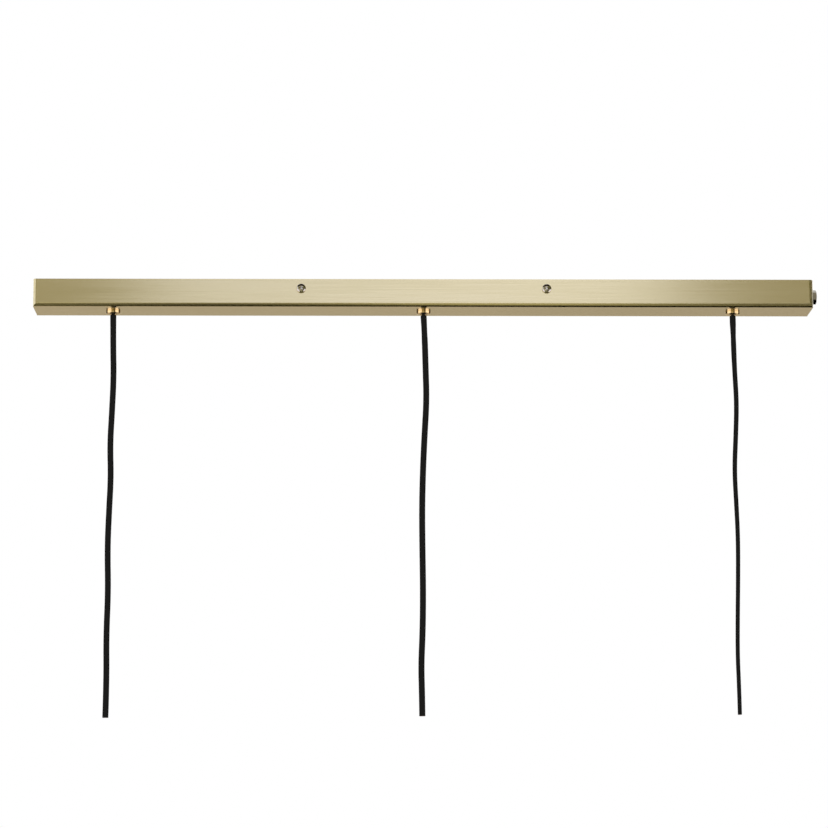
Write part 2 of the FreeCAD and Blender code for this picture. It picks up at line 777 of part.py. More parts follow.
def inlet_seal():
    """The rubber sleeve that grips the supply cable."""
    start_x = end_x + inlet_flange + inlet_thread_outside - seal_length + slip_gap
    finish_x = start_x + seal_length
    sleeve = rod(seal_radius, inlet_point(start_x), inlet_point(finish_x))
    return sleeve.cut(rod(seal_bore_radius, inlet_point(start_x - 1), inlet_point(finish_x + 1)))


def inlet_nut():
    """The clamping nut that turns on the gland body's outer thread."""
    start_x = end_x + inlet_flange + inlet_nut_gap
    finish_x = start_x + inlet_nut_length
    nut = hex_prism(inlet_flats, inlet_point(start_x), inlet_point(finish_x), inlet_bore_radius)
    thread_end = inlet_point(finish_x - inlet_nut_wall)
    return nut.cut(rod(inlet_stem_radius + running_gap, inlet_point(start_x - 1), thread_end))


def inlet_washer():
    """The toothed washer inside the end wall."""
    start = inlet_point(end_x - tray_sheet)
    return toothed_washer(inlet_stem_radius + slip_gap, washer_radius, washer_sheet, start, V(-1, 0, 0))


def inlet_locknut():
    """The nut that holds the gland body in the end wall."""
    start_x = end_x - tray_sheet - washer_sheet
    end = inlet_point(start_x - locknut_height)
    return hex_prism(inlet_flats, inlet_point(start_x), end, inlet_stem_radius + slip_gap)


save("canopy_tray", canopy_tray())
save("ceiling_bracket", ceiling_bracket())
save("bracket_weld_nuts", bracket_weld_nuts())

for screw_name, (screw_x, screw_side) in cover_screw_places().items():
    save(screw_name, cover_screw(screw_x, screw_side))

for outlet_name, outlet_x in OUTLETS.items():
    washer_place = V(outlet_x, 0, floor_z)
    washer = toothed_washer(ferrule_stem_radius + slip_gap, washer_radius, washer_sheet, washer_place, UP)
    save(f"{outlet_name}_ferrule", outlet_ferrule(outlet_x))
    save(f"{outlet_name}_bush", outlet_bush(outlet_x))
    save(f"{outlet_name}_star_washer", washer)
    save(f"{outlet_name}_locknut", outlet_locknut(outlet_x))
    save(f"{outlet_name}_cord_stop", cord_stop(outlet_x))
    save(f"{outlet_name}_stop_screw", stop_screw(outlet_x))
    save(f"{outlet_name}_cord_tail", cord_tail(outlet_x))
    save(f"{outlet_name}_cord", hanging_cord(outlet_name))
    for pole_name in ("neutral", "live"):
        core_name = f"{outlet_name}_{pole_name}_core"
        save(core_name, round_tube(core_name, core_route(outlet_name, pole_name), core_radius))

save("bared_core_ends", bared_core_ends())
save("terminal_block", terminal_block())
save("terminal_sleeves", terminal_sleeves())
save("terminal_screws", terminal_screws())
save("block_screws", block_screws())
save("earth_lug", earth_lug())
save("earth_washer", earth_washer())
save("earth_screw", earth_screw())
save("earth_core", round_tube("earth_core", earth_route(), core_radius))
save("inlet_body", inlet_body())
save("inlet_seal", inlet_seal())
save("inlet_nut", inlet_nut())
save("inlet_washer", inlet_washer())
save("inlet_locknut", inlet_locknut())
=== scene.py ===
import math

import bpy
from mathutils import Matrix, Vector


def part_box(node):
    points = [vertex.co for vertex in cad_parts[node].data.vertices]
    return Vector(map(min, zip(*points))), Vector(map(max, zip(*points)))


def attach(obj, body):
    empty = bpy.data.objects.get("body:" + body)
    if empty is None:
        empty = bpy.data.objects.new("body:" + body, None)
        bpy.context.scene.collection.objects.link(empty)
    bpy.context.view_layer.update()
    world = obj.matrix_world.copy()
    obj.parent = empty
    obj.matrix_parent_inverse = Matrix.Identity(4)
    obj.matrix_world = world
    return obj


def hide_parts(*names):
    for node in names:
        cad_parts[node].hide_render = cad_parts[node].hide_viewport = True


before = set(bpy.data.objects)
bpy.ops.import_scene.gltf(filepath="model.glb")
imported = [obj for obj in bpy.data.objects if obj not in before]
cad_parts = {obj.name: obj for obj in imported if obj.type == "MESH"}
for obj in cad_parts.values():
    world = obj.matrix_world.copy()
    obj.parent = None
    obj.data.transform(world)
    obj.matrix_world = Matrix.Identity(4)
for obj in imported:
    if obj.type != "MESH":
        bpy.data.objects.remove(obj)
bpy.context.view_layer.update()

scene = bpy.context.scene
scene.view_settings.view_transform = "Standard"


# Camera.
# It stands a little left of the bar's middle, lower than the bar, and looks slightly up.
camera_data = bpy.data.cameras.new("front_camera")
camera_data.sensor_width = 36.0
camera_data.lens = 139.13
camera = bpy.data.objects.new("front_camera", camera_data)
scene.collection.objects.link(camera)
camera_place = (-0.0775, -3.2380, -0.7027)
camera_pan = -1.1915
camera_rise = 9.9245
camera_roll = -0.1620
camera_stand = Matrix.Translation(camera_place)
for degrees, axis in ((camera_pan, "Z"), (90.0 + camera_rise, "X"), (camera_roll, "Z")):
    camera_stand = camera_stand @ Matrix.Rotation(math.radians(degrees), 4, axis)
camera.matrix_world = camera_stand
scene.camera = camera


# Hanging cords.
# Three flat twin flexes, 6.1 by 3.8 mm, under a tight black polyester braid of 24 carriers.
# Each leaves its ferrule flat side forward, hangs nearly straight and is cut off square, bare.
cord_width = 0.0061
cord_thickness = 0.0038
swing_z = -0.03185
outlet_x = {"left": -0.320, "centre": 0.0, "right": 0.320}

# Each route is (sideways, forward, down) from the swing point.
cord_route = {
    "left": [
        (0.0, 0.0, 0.0), (0.0003, 0.0002, 0.032), (0.0013, 0.0007, 0.066), (-0.0001, 0.0010, 0.104),
        (-0.0015, 0.0006, 0.136), (-0.0001, -0.0002, 0.170), (-0.0015, -0.0009, 0.205),
        (-0.0026, -0.0011, 0.244), (-0.0013, -0.0006, 0.288), (-0.0027, 0.0002, 0.332),
        (-0.0018, 0.0006, 0.378), (-0.0025, 0.0004, 0.4154),
    ],
    "centre": [
        (0.0, 0.0, 0.0), (0.0012, -0.0003, 0.026), (0.0019, -0.0008, 0.056), (0.0028, -0.0009, 0.090),
        (0.0006, -0.0003, 0.126), (-0.0012, 0.0005, 0.164), (-0.0022, 0.0010, 0.204),
        (-0.0019, 0.0008, 0.246), (-0.0014, 0.0001, 0.288), (-0.0020, -0.0006, 0.330),
        (-0.0036, -0.0005, 0.362), (-0.0028, 0.0001, 0.394), (-0.0026, 0.0002, 0.4142),
    ],
    "right": [
        (0.0, 0.0, 0.0), (0.0003, 0.0003, 0.026), (0.0010, 0.0009, 0.058), (0.0025, 0.0011, 0.092),
        (0.0009, 0.0005, 0.126), (-0.0014, -0.0004, 0.162), (-0.0002, -0.0010, 0.198),
        (0.0008, -0.0010, 0.232), (0.0002, -0.0004, 0.272), (-0.0010, 0.0004, 0.314),
        (-0.0018, 0.0008, 0.352), (-0.0010, 0.0004, 0.386), (-0.0008, 0.0001, 0.4130),
    ],
}

# How far each flat cord has turned about itself, as (metres down, degrees).
cord_twist = {
    "left": [(0.0, 0), (0.006, 4), (0.016, 17), (0.30, 20), (0.42, 14)],
    "centre": [(0.0, 0), (0.004, 3), (0.012, 28), (0.019, 30), (0.031, 7), (0.20, 4), (0.42, 9)],
    "right": [
        (0.0, 0), (0.007, 4), (0.015, 44), (0.023, 62), (0.032, 56), (0.060, 70),
        (0.135, 74), (0.185, 80), (0.250, 85), (0.42, 90),
    ],
}


def linear(hex_colour):
    """An sRGB hex colour as the linear colour that a shader socket takes."""
    parts = [int(hex_colour[i:i + 2], 16) / 255 for i in (1, 3, 5)]
    return tuple(p / 12.92 if p <= 0.04045 else ((p + 0.055) / 1.055) ** 2.4 for p in parts) + (1.0,)


def add_node(tree, kind, inputs=None, steps=(), **settings):
    """Adds one node with its settings and ramp or curve steps, and fills or links its inputs.

    A node given as an input stands for its first output, and a list is for an input that takes several.
    """
    made = tree.nodes.new(kind)
    for name, value in settings.items():
        setattr(made, name, value)
    for key, value in (inputs or {}).items():
        for source in value if isinstance(value, list) else [value]:
            if isinstance(source, bpy.types.Node):
                source = next(output for output in source.outputs if output.enabled)
            if isinstance(source, bpy.types.NodeSocket):
                tree.links.new(source, made.inputs[key])
            else:
                made.inputs[key].default_value = source
    if steps and kind == "ShaderNodeValToRGB":
        elements = made.color_ramp.elements
        while len(elements) < len(steps):
            elements.new(1.0)
        for element, (position, hex_colour) in zip(elements, steps):
            element.position = position
            element.color = linear(hex_colour)
    elif steps:
        points = made.mapping.curves[0].points
        while len(points) < len(steps):
            points.new(0.5, 0.5)
        for point, step in zip(points, steps):
            point.location = step
            point.handle_type = "VECTOR"
        made.mapping.update()
    return made


def new_material(name):
    """An empty material and its node tree."""
    material = bpy.data.materials.new(name)
    material.use_nodes = True
    material.node_tree.nodes.clear()
    return material, material.node_tree


def close_material(tree, shader):
    """Sends a shader to the material's output."""
    add_node(tree, "ShaderNodeOutputMaterial", {"Surface": shader})


def new_piece(name, mesh, material, body, stands_for=()):
    """Links a finished mesh as a piece, gives it its finish, and lets it ride on its body."""
    if not mesh.materials:
        mesh.materials.append(material)
    piece = bpy.data.objects.new(name, mesh)
    scene.collection.objects.link(piece)
    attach(piece, body)
    if stands_for:
        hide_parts(*stands_for)
    return piece


def mesh_from_rings(name, rings):
    """A tube through rings of points, with smooth sides and flat ends."""
    count = len(rings[0])
    points = [point for ring in rings for point in ring]
    faces = []
    for row in range(len(rings) - 1):
        for i in range(count):
            j = (i + 1) % count
            faces.append((row * count + i, row * count + j, (row + 1) * count + j, (row + 1) * count + i))
    sides = len(faces)
    last = (len(rings) - 1) * count
    faces.append(tuple(range(count))[::-1])
    faces.append(tuple(last + i for i in range(count)))
    mesh = bpy.data.meshes.new(name)
    mesh.from_pydata(points, [], faces)
    mesh.polygons.foreach_set("use_smooth", [i < sides for i in range(len(faces))])
    return mesh


def round_ring(middle, side, up, radius, count):
    """The points of a circle."""
    turns = [2 * math.pi * i / count for i in range(count)]
    return [middle + side * (math.cos(turn) * radius) + up * (math.sin(turn) * radius) for turn in turns]


def smooth_line(route):
    """The points of the smooth NURBS line that has a route as its control points."""
    curve = bpy.data.curves.new("line", "CURVE")
    curve.dimensions = "3D"
    curve.resolution_u = 96
    spline = curve.splines.new("NURBS")
    spline.points.add(len(route) - 1)
    for point, place in zip(spline.points, route):
        point.co = (*place, 1.0)
    spline.order_u = 3
    spline.use_endpoint_u = True
    holder = bpy.data.objects.new("line", curve)
    mesh = bpy.data.meshes.new_from_object(holder)
    points = [vertex.co.copy() for vertex in mesh.vertices]
    bpy.data.objects.remove(holder)
    bpy.data.curves.remove(curve)
    bpy.data.meshes.remove(mesh)
    return points


def even_line(points, step):
    """The same line, its points moved to an even spacing along it, each with its distance from the start."""
    lengths = [0.0]
    for a, b in zip(points, points[1:]):
        lengths.append(lengths[-1] + (b - a).length)
    count = round(lengths[-1] / step)
    line = []
    at = 0
    for i in range(count + 1):
        wanted = lengths[-1] * i / count
        while at < len(points) - 2 and lengths[at + 1] < wanted:
            at += 1
        share = (wanted - lengths[at]) / (lengths[at + 1] - lengths[at])
        line.append((wanted, points[at].lerp(points[at + 1], share)))
    return line


def carried_frames(line, first_side):
    """A line's places, each with its distance, its way ahead and a side that turns as little as it can."""
    side = first_side
    frames = []
    for i, (at, point) in enumerate(line):
        ahead = (line[min(i + 1, len(line) - 1)][1] - line[max(i - 1, 0)][1]).normalized()
        side = (side - ahead * side.dot(ahead)).normalized()
        frames.append((at, point, ahead, side))
    return frames


def eased(steps, at):
    """A value that eases from one (place, value) step to the next."""
    for (start, low), (end, high) in zip(steps, steps[1:]):
        if at <= end:
            share = (at - start) / (end - start)
            return low + (high - low) * share * share * (3 - 2 * share)
    return steps[-1][1]


braid_sides = 60
braid_step = 0.00034
braid_pairs = 12
braid_pitch = 0.00135
braid_relief = 0.00013
yarn_dip = 0.45
sheath_waist = 0.05
closed_top = 0.02


def flat_section(turn):
    """Where a turn of 0 to 1 lies on the flat cord's outline, as (across, out) and the way outwards."""
    radius = cord_thickness / 2
    reach = cord_width / 2 - radius
    arc = math.pi * radius
    along = (turn * (4 * reach + 2 * arc) + reach) % (4 * reach + 2 * arc)
    if along < 2 * reach:
        across, out, way = along - reach, radius, (0.0, 1.0)
    elif along < 2 * reach + arc:
        angle = math.pi / 2 - (along - 2 * reach) / radius
        way = (math.cos(angle), math.sin(angle))
        across, out = reach + radius * way[0], radius * way[1]
    elif along < 4 * reach + arc:
        across, out, way = 3 * reach + arc - along, -radius, (0.0, -1.0)
    else:
        angle = -math.pi / 2 - (along - 4 * reach - arc) / radius
        way = (math.cos(angle), math.sin(angle))
        across, out = radius * way[0] - reach, radius * way[1]
    waist = 1 - sheath_waist * math.exp(-((across / reach) ** 2) * 2)
    return across, out * waist, way


def yarn_height(turn, along):
    """How high the braid stands at a place, from 0 in a gap to 1 on top of a yarn."""
    one = turn * braid_pairs + along / braid_pitch
    other = turn * braid_pairs - along / braid_pitch
    if (math.floor(one) + math.floor(other)) % 2:
        one, other = other, one
    across = 2 * (one % 1.0) - 1
    lengthways = 2 * (other % 1.0) - 1
    return (1 - across ** 2) * (1 - yarn_dip * lengthways ** 2)


def braided_cord(name, line, twist, round_top):
    """A braided cord along a line, with its yarns' height as an attribute, and the last two of its axes."""
    section = [flat_section(i / braid_sides) for i in range(braid_sides)]
    rings = []
    heights = []
    for at, point, ahead, side in carried_frames(line, Vector((1, 0, 0))):
        across_axis = Matrix.Rotation(math.radians(eased(twist, at)), 3, ahead) @ side
        out_axis = across_axis.cross(ahead)
        shrink = 1.0
        if round_top and at < cord_thickness / 2:
            shrink = math.sqrt(1 - (1 - at / (cord_thickness / 2)) ** 2) * (1 - closed_top) + closed_top
        ring = []
        for j, (across, out, way) in enumerate(section):
            height = yarn_height(j / braid_sides, at)
            a = (across + way[0] * height * braid_relief) * shrink
            b = (out + way[1] * height * braid_relief) * shrink
            ring.append(point + across_axis * a + out_axis * b)
            heights.append(height)
        rings.append(ring)
    mesh = mesh_from_rings(name, rings)
    mesh.attributes.new("yarn_height", "FLOAT", "POINT").data.foreach_set("value", heights)
    return mesh, across_axis, ahead


# Braided polyester yarn: matt and nearly black, with only a trace of shine, because its fibres scatter the
# light.
# Its colour is painted darker in the gaps between the yarns than on their tops, as painted shade.
braid_material, tree = new_material("braided_black_polyester")
height = add_node(tree, "ShaderNodeAttribute", attribute_name="yarn_height").outputs["Fac"]
# Painted shade: the yarn height takes the colour down to black in the gaps between the yarns.
braid_colour_with_gap_shade = add_node(tree, "ShaderNodeValToRGB", {"Fac": height}, [
    (0.0, "#050505"), (0.4, "#181818"), (1.0, "#323232"),
])
place = add_node(tree, "ShaderNodeTexCoord").outputs["Object"]
# Fibres are 0.02 mm thick: they are drawn at 0.25 mm, the finest that shows.
fibres = add_node(tree, "ShaderNodeTexNoise", {"Vector": place, "Scale": 4000.0, "Detail": 2.0})
fibre_bump = add_node(tree, "ShaderNodeBump", {"Height": fibres, "Strength": 0.5, "Distance": 0.00006})
close_material(tree, add_node(tree, "ShaderNodeBsdfPrincipled", {
    "Base Color": braid_colour_with_gap_shade, "Roughness": 0.85, "Specular IOR Level": 0.04, "Normal": fibre_bump,
}))


def metal(name, dark, light, roughness, grain_mm, bump, stretch=(1.0, 1.0, 1.0)):
    """A metal whose colour and gloss wander a little, at one grain size and over clouds ten times wider."""
    material, tree = new_material(name)
    place = add_node(tree, "ShaderNodeTexCoord").outputs["Object"]
    laid = add_node(tree, "ShaderNodeMapping", {"Vector": place, "Scale": stretch})
    fine, wide = 1000.0 / grain_mm, 100.0 / grain_mm
    grain = add_node(tree, "ShaderNodeTexNoise", {"Vector": laid, "Scale": fine, "Detail": 3.0})
    clouds = add_node(tree, "ShaderNodeTexNoise", {"Vector": place, "Scale": wide, "Detail": 2.0})
    tone = add_node(tree, "ShaderNodeMix", {"Factor": 0.5, "A": grain, "B": clouds})
    colour = add_node(tree, "ShaderNodeValToRGB", {"Fac": tone}, [(0.35, dark), (0.65, light)])
    gloss = add_node(tree, "ShaderNodeMapRange", {
        "Value": tone, "To Min": roughness * 0.8, "To Max": roughness * 1.2,
    })
    relief = add_node(tree, "ShaderNodeBump", {"Height": grain, "Strength": bump, "Distance": 0.00002})
    close_material(tree, add_node(tree, "ShaderNodeBsdfPrincipled", {
        "Base Color": colour, "Metallic": 1.0, "Roughness": gloss, "Normal": relief,
    }))
    return material


def plastic(name, dark, light, roughness, grain_mm, bump):
    """A moulded or extruded plastic whose colour wanders a little, over a faint grain."""
    material, tree = new_material(name)
    place = add_node(tree, "ShaderNodeTexCoord").outputs["Object"]
    fine, wide = 1000.0 / grain_mm, 60.0 / grain_mm
    grain = add_node(tree, "ShaderNodeTexNoise", {"Vector": place, "Scale": fine, "Detail": 3.0})
    clouds = add_node(tree, "ShaderNodeTexNoise", {"Vector": place, "Scale": wide, "Detail": 2.0})
    colour = add_node(tree, "ShaderNodeValToRGB", {"Fac": clouds}, [(0.35, dark), (0.65, light)])
    gloss = add_node(tree, "ShaderNodeMapRange", {
        "Value": clouds, "To Min": roughness * 0.85, "To Max": roughness * 1.15,
    })
    relief = add_node(tree, "ShaderNodeBump", {"Height": grain, "Strength": bump, "Distance": 0.00003})
    close_material(tree, add_node(tree, "ShaderNodeBsdfPrincipled", {
        "Base Color": colour, "Roughness": gloss, "Normal": relief,
    }))
    return material


# PVC insulation, extruded smooth: an even colour with a soft waxy shine.
# Bare copper strands, drawn thin: warm orange, bright along each strand.
blue_pvc = plastic("extruded_blue_pvc", "#1f4f9e", "#2458aa", roughness=0.36, grain_mm=1.0, bump=0.2)
brown_pvc = plastic("extruded_brown_pvc", "#472616", "#55301d", roughness=0.36, grain_mm=1.0, bump=0.2)
copper = metal("drawn_bare_copper", "#b8653a", "#d58a5e", roughness=0.28, grain_mm=0.4, bump=0.3)


def sized_tree(name, lengths, **others):
    """A node tree with a named input for each size, a direction and a material, and what gives them."""
    tree = bpy.data.node_groups.new(name, "GeometryNodeTree")
    kinds = {"Geometry": "Geometry", **dict.fromkeys(lengths, "Float"), **others}
    for size, kind in {**kinds, "Along": "Vector", "Material": "Material"}.items():
        tree.interface.new_socket(size, in_out="INPUT", socket_type=f"NodeSocket{kind}")
    tree.interface.new_socket("Geometry", in_out="OUTPUT", socket_type="NodeSocketGeometry")
    return tree, tree.nodes.new("NodeGroupInput").outputs


def close_tree(tree, shape, given):
    """Ends a tree: a shape, made in millimetres on the z axis, stands at each seed point in its material."""
    seeds = add_node(tree, "GeometryNodeMeshToPoints", {"Mesh": given["Geometry"]})
    aim = add_node(tree, "FunctionNodeAlignRotationToVector", {"Vector": given["Along"]}, axis="Z")
    placed = add_node(tree, "GeometryNodeInstanceOnPoints", {
        "Points": seeds, "Instance": shape, "Rotation": aim, "Scale": (0.001, 0.001, 0.001),
    })
    real = add_node(tree, "GeometryNodeRealizeInstances", {"Geometry": placed})
    dressed = add_node(tree, "GeometryNodeSetMaterial", {"Geometry": real, "Material": given["Material"]})
    add_node(tree, "NodeGroupOutput", {"Geometry": dressed})
    return tree


crease_angle = math.radians(35)


def grown_mesh(name, tree, places, sizes):
    """The plain mesh that a node tree grows from seed points and its named sizes."""
    seed_mesh = bpy.data.meshes.new(name)
    seed_mesh.from_pydata([tuple(place) for place in places], [], [])
    holder = bpy.data.objects.new(name, seed_mesh)
    scene.collection.objects.link(holder)
    modifier = holder.modifiers.new(tree.name, "NODES")
    modifier.node_group = tree
    for socket in tree.interface.items_tree:
        if socket.in_out == "INPUT" and socket.name in sizes:
            modifier[socket.identifier] = sizes[socket.name]
    mesh = bpy.data.meshes.new_from_object(holder.evaluated_get(bpy.context.evaluated_depsgraph_get()))
    mesh.name = name
    bpy.data.objects.remove(holder)
    bpy.data.meshes.remove(seed_mesh)
    mesh.polygons.foreach_set("use_smooth", [True] * len(mesh.polygons))
    mesh.set_sharp_from_angle(angle=crease_angle)
    return mesh


# A bundle of bare strands, laid evenly in a round by the turn that seeds take in a sunflower.
sunflower_turn = 2.399963
tree, given = sized_tree("strand_bundle", ("Bundle Radius", "Strand Radius", "Length"), Strands="Int")
number = add_node(tree, "GeometryNodeInputIndex")
share = add_node(tree, "ShaderNodeMath", {0: number, 1: 0.5}, operation="ADD")
share = add_node(tree, "ShaderNodeMath", {0: share, 1: given["Strands"]}, operation="DIVIDE")
out = add_node(tree, "ShaderNodeMath", {0: share}, operation="SQRT")
out = add_node(tree, "ShaderNodeMath", {0: out, 1: given["Bundle Radius"]}, operation="MULTIPLY")
turn = add_node(tree, "ShaderNodeMath", {0: number, 1: sunflower_turn}, operation="MULTIPLY")
spot = add_node(tree, "ShaderNodeCombineXYZ", {"X": out})
spot = add_node(tree, "ShaderNodeVectorRotate", {"Vector": spot, "Angle": turn}, rotation_type="Z_AXIS")
spots = add_node(tree, "GeometryNodePoints", {"Count": given["Strands"], "Position": spot})
strand = add_node(tree, "GeometryNodeMeshCylinder", {
    "Vertices": 8, "Radius": given["Strand Radius"], "Depth": given["Length"],
})
uneven = add_node(tree, "FunctionNodeRandomValue", {
    "Min": (1.0, 1.0, 0.94), "Max": (1.0, 1.0, 1.0), "Seed": 7,
}, data_type="FLOAT_VECTOR")
bundle = add_node(tree, "GeometryNodeInstanceOnPoints", {
    "Points": spots, "Instance": strand, "Scale": uneven,
})
strand_tree = close_tree(tree, bundle, given)

core_pitch = 0.0026
core_radius = 0.0012
cut_core_sides = 28
cut_core_proud = 0.00010
cut_core_depth = 0.0005
cut_strands_proud = 0.00005
cut_strands_length = 0.3
strand_sizes = {"Strands": 24, "Bundle Radius": 0.48, "Strand Radius": 0.098, "Material": copper}
flex_cores = (("neutral", -1, blue_pvc, "blue_pvc"), ("live", 1, brown_pvc, "brown_pvc"))

for name, x in outlet_x.items():
    route = [(x + sideways, forward, swing_z - down) for sideways, forward, down in cord_route[name]]
    path = smooth_line(route)
    line = even_line(path, braid_step)
    mesh, across_axis, ahead = braided_cord(f"{name}_braided_cord", line, cord_twist[name], True)
    body = f"{name}_hanging_cord"
    cord = new_piece(f"{name}_braided_cord", mesh, braid_material, body, [f"{name}_cord"])
    back_axis = ahead.cross(across_axis)
    cut_ends = []
    for pole, hand, pvc, slot in flex_cores:
        centre = path[-1] + across_axis * (hand * core_pitch / 2)
        disc = mesh_from_rings(f"{name}_cut_{pole}_core", [
            round_ring(centre + ahead * depth, across_axis, back_axis, core_radius, cut_core_sides)
            for depth in (-cut_core_depth, cut_core_proud)
        ])
        new_piece(f"{name}_cut_{pole}_core", disc, pvc, body)
        cut_ends.append(centre + ahead * cut_strands_proud)
    strands = grown_mesh(f"{name}_cut_strands", strand_tree, cut_ends, {
        **strand_sizes, "Length": cut_strands_length, "Along": tuple(ahead),
    })
    new_piece(f"{name}_cut_strands", strands, copper, body)


# Canopy tray.
# One folded tray of 1.2 mm sheet steel, plated in pale brass, brushed lengthways by belt and lacquered.
# Its open side lies against the ceiling. Inside it is plated but never met the belt, so it stays dull.
tray_sheet = 0.0012
tray_low, tray_high = (Vector(corner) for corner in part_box("canopy_tray"))
brushed_brass, tree = new_material("brushed_brass_plate_under_lacquer")
place = add_node(tree, "ShaderNodeTexCoord").outputs["Object"]
# Belt scratches are 0.05 mm wide and 40 to 100 mm long: they are drawn 0.6 mm wide, to show.
long_way = add_node(tree, "ShaderNodeMapping", {"Vector": place, "Scale": (16.0, 1600.0, 1600.0)})
scratches = add_node(tree, "ShaderNodeTexNoise", {
    "Vector": long_way, "Scale": 1.0, "Detail": 3.0, "Roughness": 0.6,
})
wide_way = add_node(tree, "ShaderNodeMapping", {"Vector": place, "Scale": (5.0, 60.0, 60.0)})
clouds = add_node(tree, "ShaderNodeTexNoise", {"Vector": wide_way, "Scale": 1.0, "Detail": 2.0})
tone = add_node(tree, "ShaderNodeMix", {"Factor": 0.45, "A": scratches, "B": clouds})
brushed = add_node(tree, "ShaderNodeValToRGB", {"Fac": tone}, [
    (0.25, "#dcd1a8"), (0.5, "#e7dcb6"), (0.75, "#f0e6c4"),
])
# The plate inside is cloudy, with a crystal grain of about 3 mm.
crystals = add_node(tree, "ShaderNodeTexVoronoi", {"Vector": place, "Scale": 330.0})
cloudy = add_node(tree, "ShaderNodeMix", {"Factor": 0.5, "A": clouds, "B": crystals})
dull = add_node(tree, "ShaderNodeValToRGB", {"Fac": cloudy}, [(0.2, "#b5a878"), (0.7, "#cabd8e")])
apart = add_node(tree, "ShaderNodeVectorMath", {0: place}, operation="ABSOLUTE")
apart = add_node(tree, "ShaderNodeSeparateXYZ", {0: apart}).outputs
brushed_depth = 0.7 * tray_sheet
inside = 1.0
for axis, reach in zip("XYZ", (tray_high.x, tray_high.y, -tray_low.z)):
    wall = reach - brushed_depth
    near = add_node(tree, "ShaderNodeMath", {0: apart[axis], 1: wall}, operation="LESS_THAN")
    inside = add_node(tree, "ShaderNodeMath", {0: inside, 1: near}, operation="MULTIPLY")
colour = add_node(tree, "ShaderNodeMix", {0: inside, 6: brushed, 7: dull}, data_type="RGBA")
gloss = add_node(tree, "ShaderNodeMapRange", {"Value": clouds, "To Min": 0.18, "To Max": 0.22})
gloss = add_node(tree, "ShaderNodeMix", {"Factor": inside, "A": gloss, "B": 0.42})
scratch_bump = add_node(tree, "ShaderNodeBump", {"Height": scratches, "Strength": 0.25, "Distance": 0.00002})
around = add_node(tree, "ShaderNodeTangent", direction_type="RADIAL", axis="X")
close_material(tree, add_node(tree, "ShaderNodeBsdfPrincipled", {
    "Base Color": colour, "Metallic": 1.0, "Roughness": gloss, "Anisotropic": 0.8, "Tangent": around,
    "Normal": scratch_bump, "Coat Weight": 0.3, "Coat Roughness": 0.12,
}))


def dress(material, slot, *names):
    """Gives pieces that come from the frame their material. The slot is not used."""
    for name in names:
        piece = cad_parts[name]
        if not piece.material_slots:
            piece.data.materials.append(material)
        for holder in piece.material_slots:
            holder.material = material


dress(brushed_brass, "brushed_brass", "canopy_tray")


# Ceiling bracket.
# A strap of 2 mm steel on which two cross arms end in bent ears, punched, then zinc plated bright.
# Four hexagon nuts are welded inside the ears, and the cover screws turn into them.

# Bright zinc plate: a pale blue grey, half satin and half mirror, a little cloudy.
zinc = metal("bright_zinc_plate", "#a3a8ad", "#c3c7ca", roughness=0.30, grain_mm=3.0, bump=0.35)
dress(zinc, "zinc_plate", "ceiling_bracket", "bracket_weld_nuts")


# Cover screws.
# Four M5 pan heads with a cross recess, cold headed and rolled in steel, then bright nickel plated.
# They hold the tray to the bracket: two show in the front face and two are in the back.

# Bright nickel plate: a warm grey mirror with hardly a grain.
nickel = metal("bright_nickel_plate", "#c6c1b6", "#d6d1c7", roughness=0.05, grain_mm=2.0, bump=0.08)

tree, given = sized_tree("machine_screw", (
    "Head Radius", "Head Height", "Thread Radius", "Thread Pitch", "Length", "Blade", "Reach", "Depth",
    "Blade Taper", "Reach Taper",
), Cross="Bool")
# The head is a sheet bent round its axis: its width runs round, and its height follows a profile.
head_sides = 48
head_rows = 24
edge_row = 3
edge_share = 0.35
squareness = 0.8
head_out = [(0.0, 0.0), (1 / head_rows, 0.97), (2 / head_rows, 1.0)]
head_up = [(0.0, 0.0), (1 / head_rows, 0.0), (2 / head_rows, 0.05)]
for row in range(edge_row, head_rows + 1):
    angle = math.pi / 2 * (row - edge_row) / (head_rows - edge_row)
    head_out.append((row / head_rows, max(0.0, math.cos(angle)) ** squareness))
    head_up.append((row / head_rows, edge_share + (1 - edge_share) * math.sin(angle) ** squareness))
head = add_node(tree, "GeometryNodeMeshGrid", {"Vertices X": head_sides + 1, "Vertices Y": head_rows + 1})
at = add_node(tree, "GeometryNodeInputPosition")
at = add_node(tree, "ShaderNodeSeparateXYZ", {0: at}).outputs
turn = add_node(tree, "ShaderNodeMath", {0: at["X"], 1: 2 * math.pi}, operation="MULTIPLY")
share = add_node(tree, "ShaderNodeMath", {0: at["Y"], 1: 0.5}, operation="ADD")
out = add_node(tree, "ShaderNodeFloatCurve", {"Value": share}, head_out)
out = add_node(tree, "ShaderNodeMath", {0: out, 1: given["Head Radius"]}, operation="MULTIPLY")
up = add_node(tree, "ShaderNodeFloatCurve", {"Value": share}, head_up)
up = add_node(tree, "ShaderNodeMath", {0: up, 1: given["Head Height"]}, operation="MULTIPLY")
spot = add_node(tree, "ShaderNodeCombineXYZ", {"X": out, "Z": up})
spot = add_node(tree, "ShaderNodeVectorRotate", {"Vector": spot, "Angle": turn}, rotation_type="Z_AXIS")
head = add_node(tree, "GeometryNodeSetPosition", {"Geometry": head, "Position": spot})
head = add_node(tree, "GeometryNodeMergeByDistance", {"Geometry": head, "Distance": 0.002})

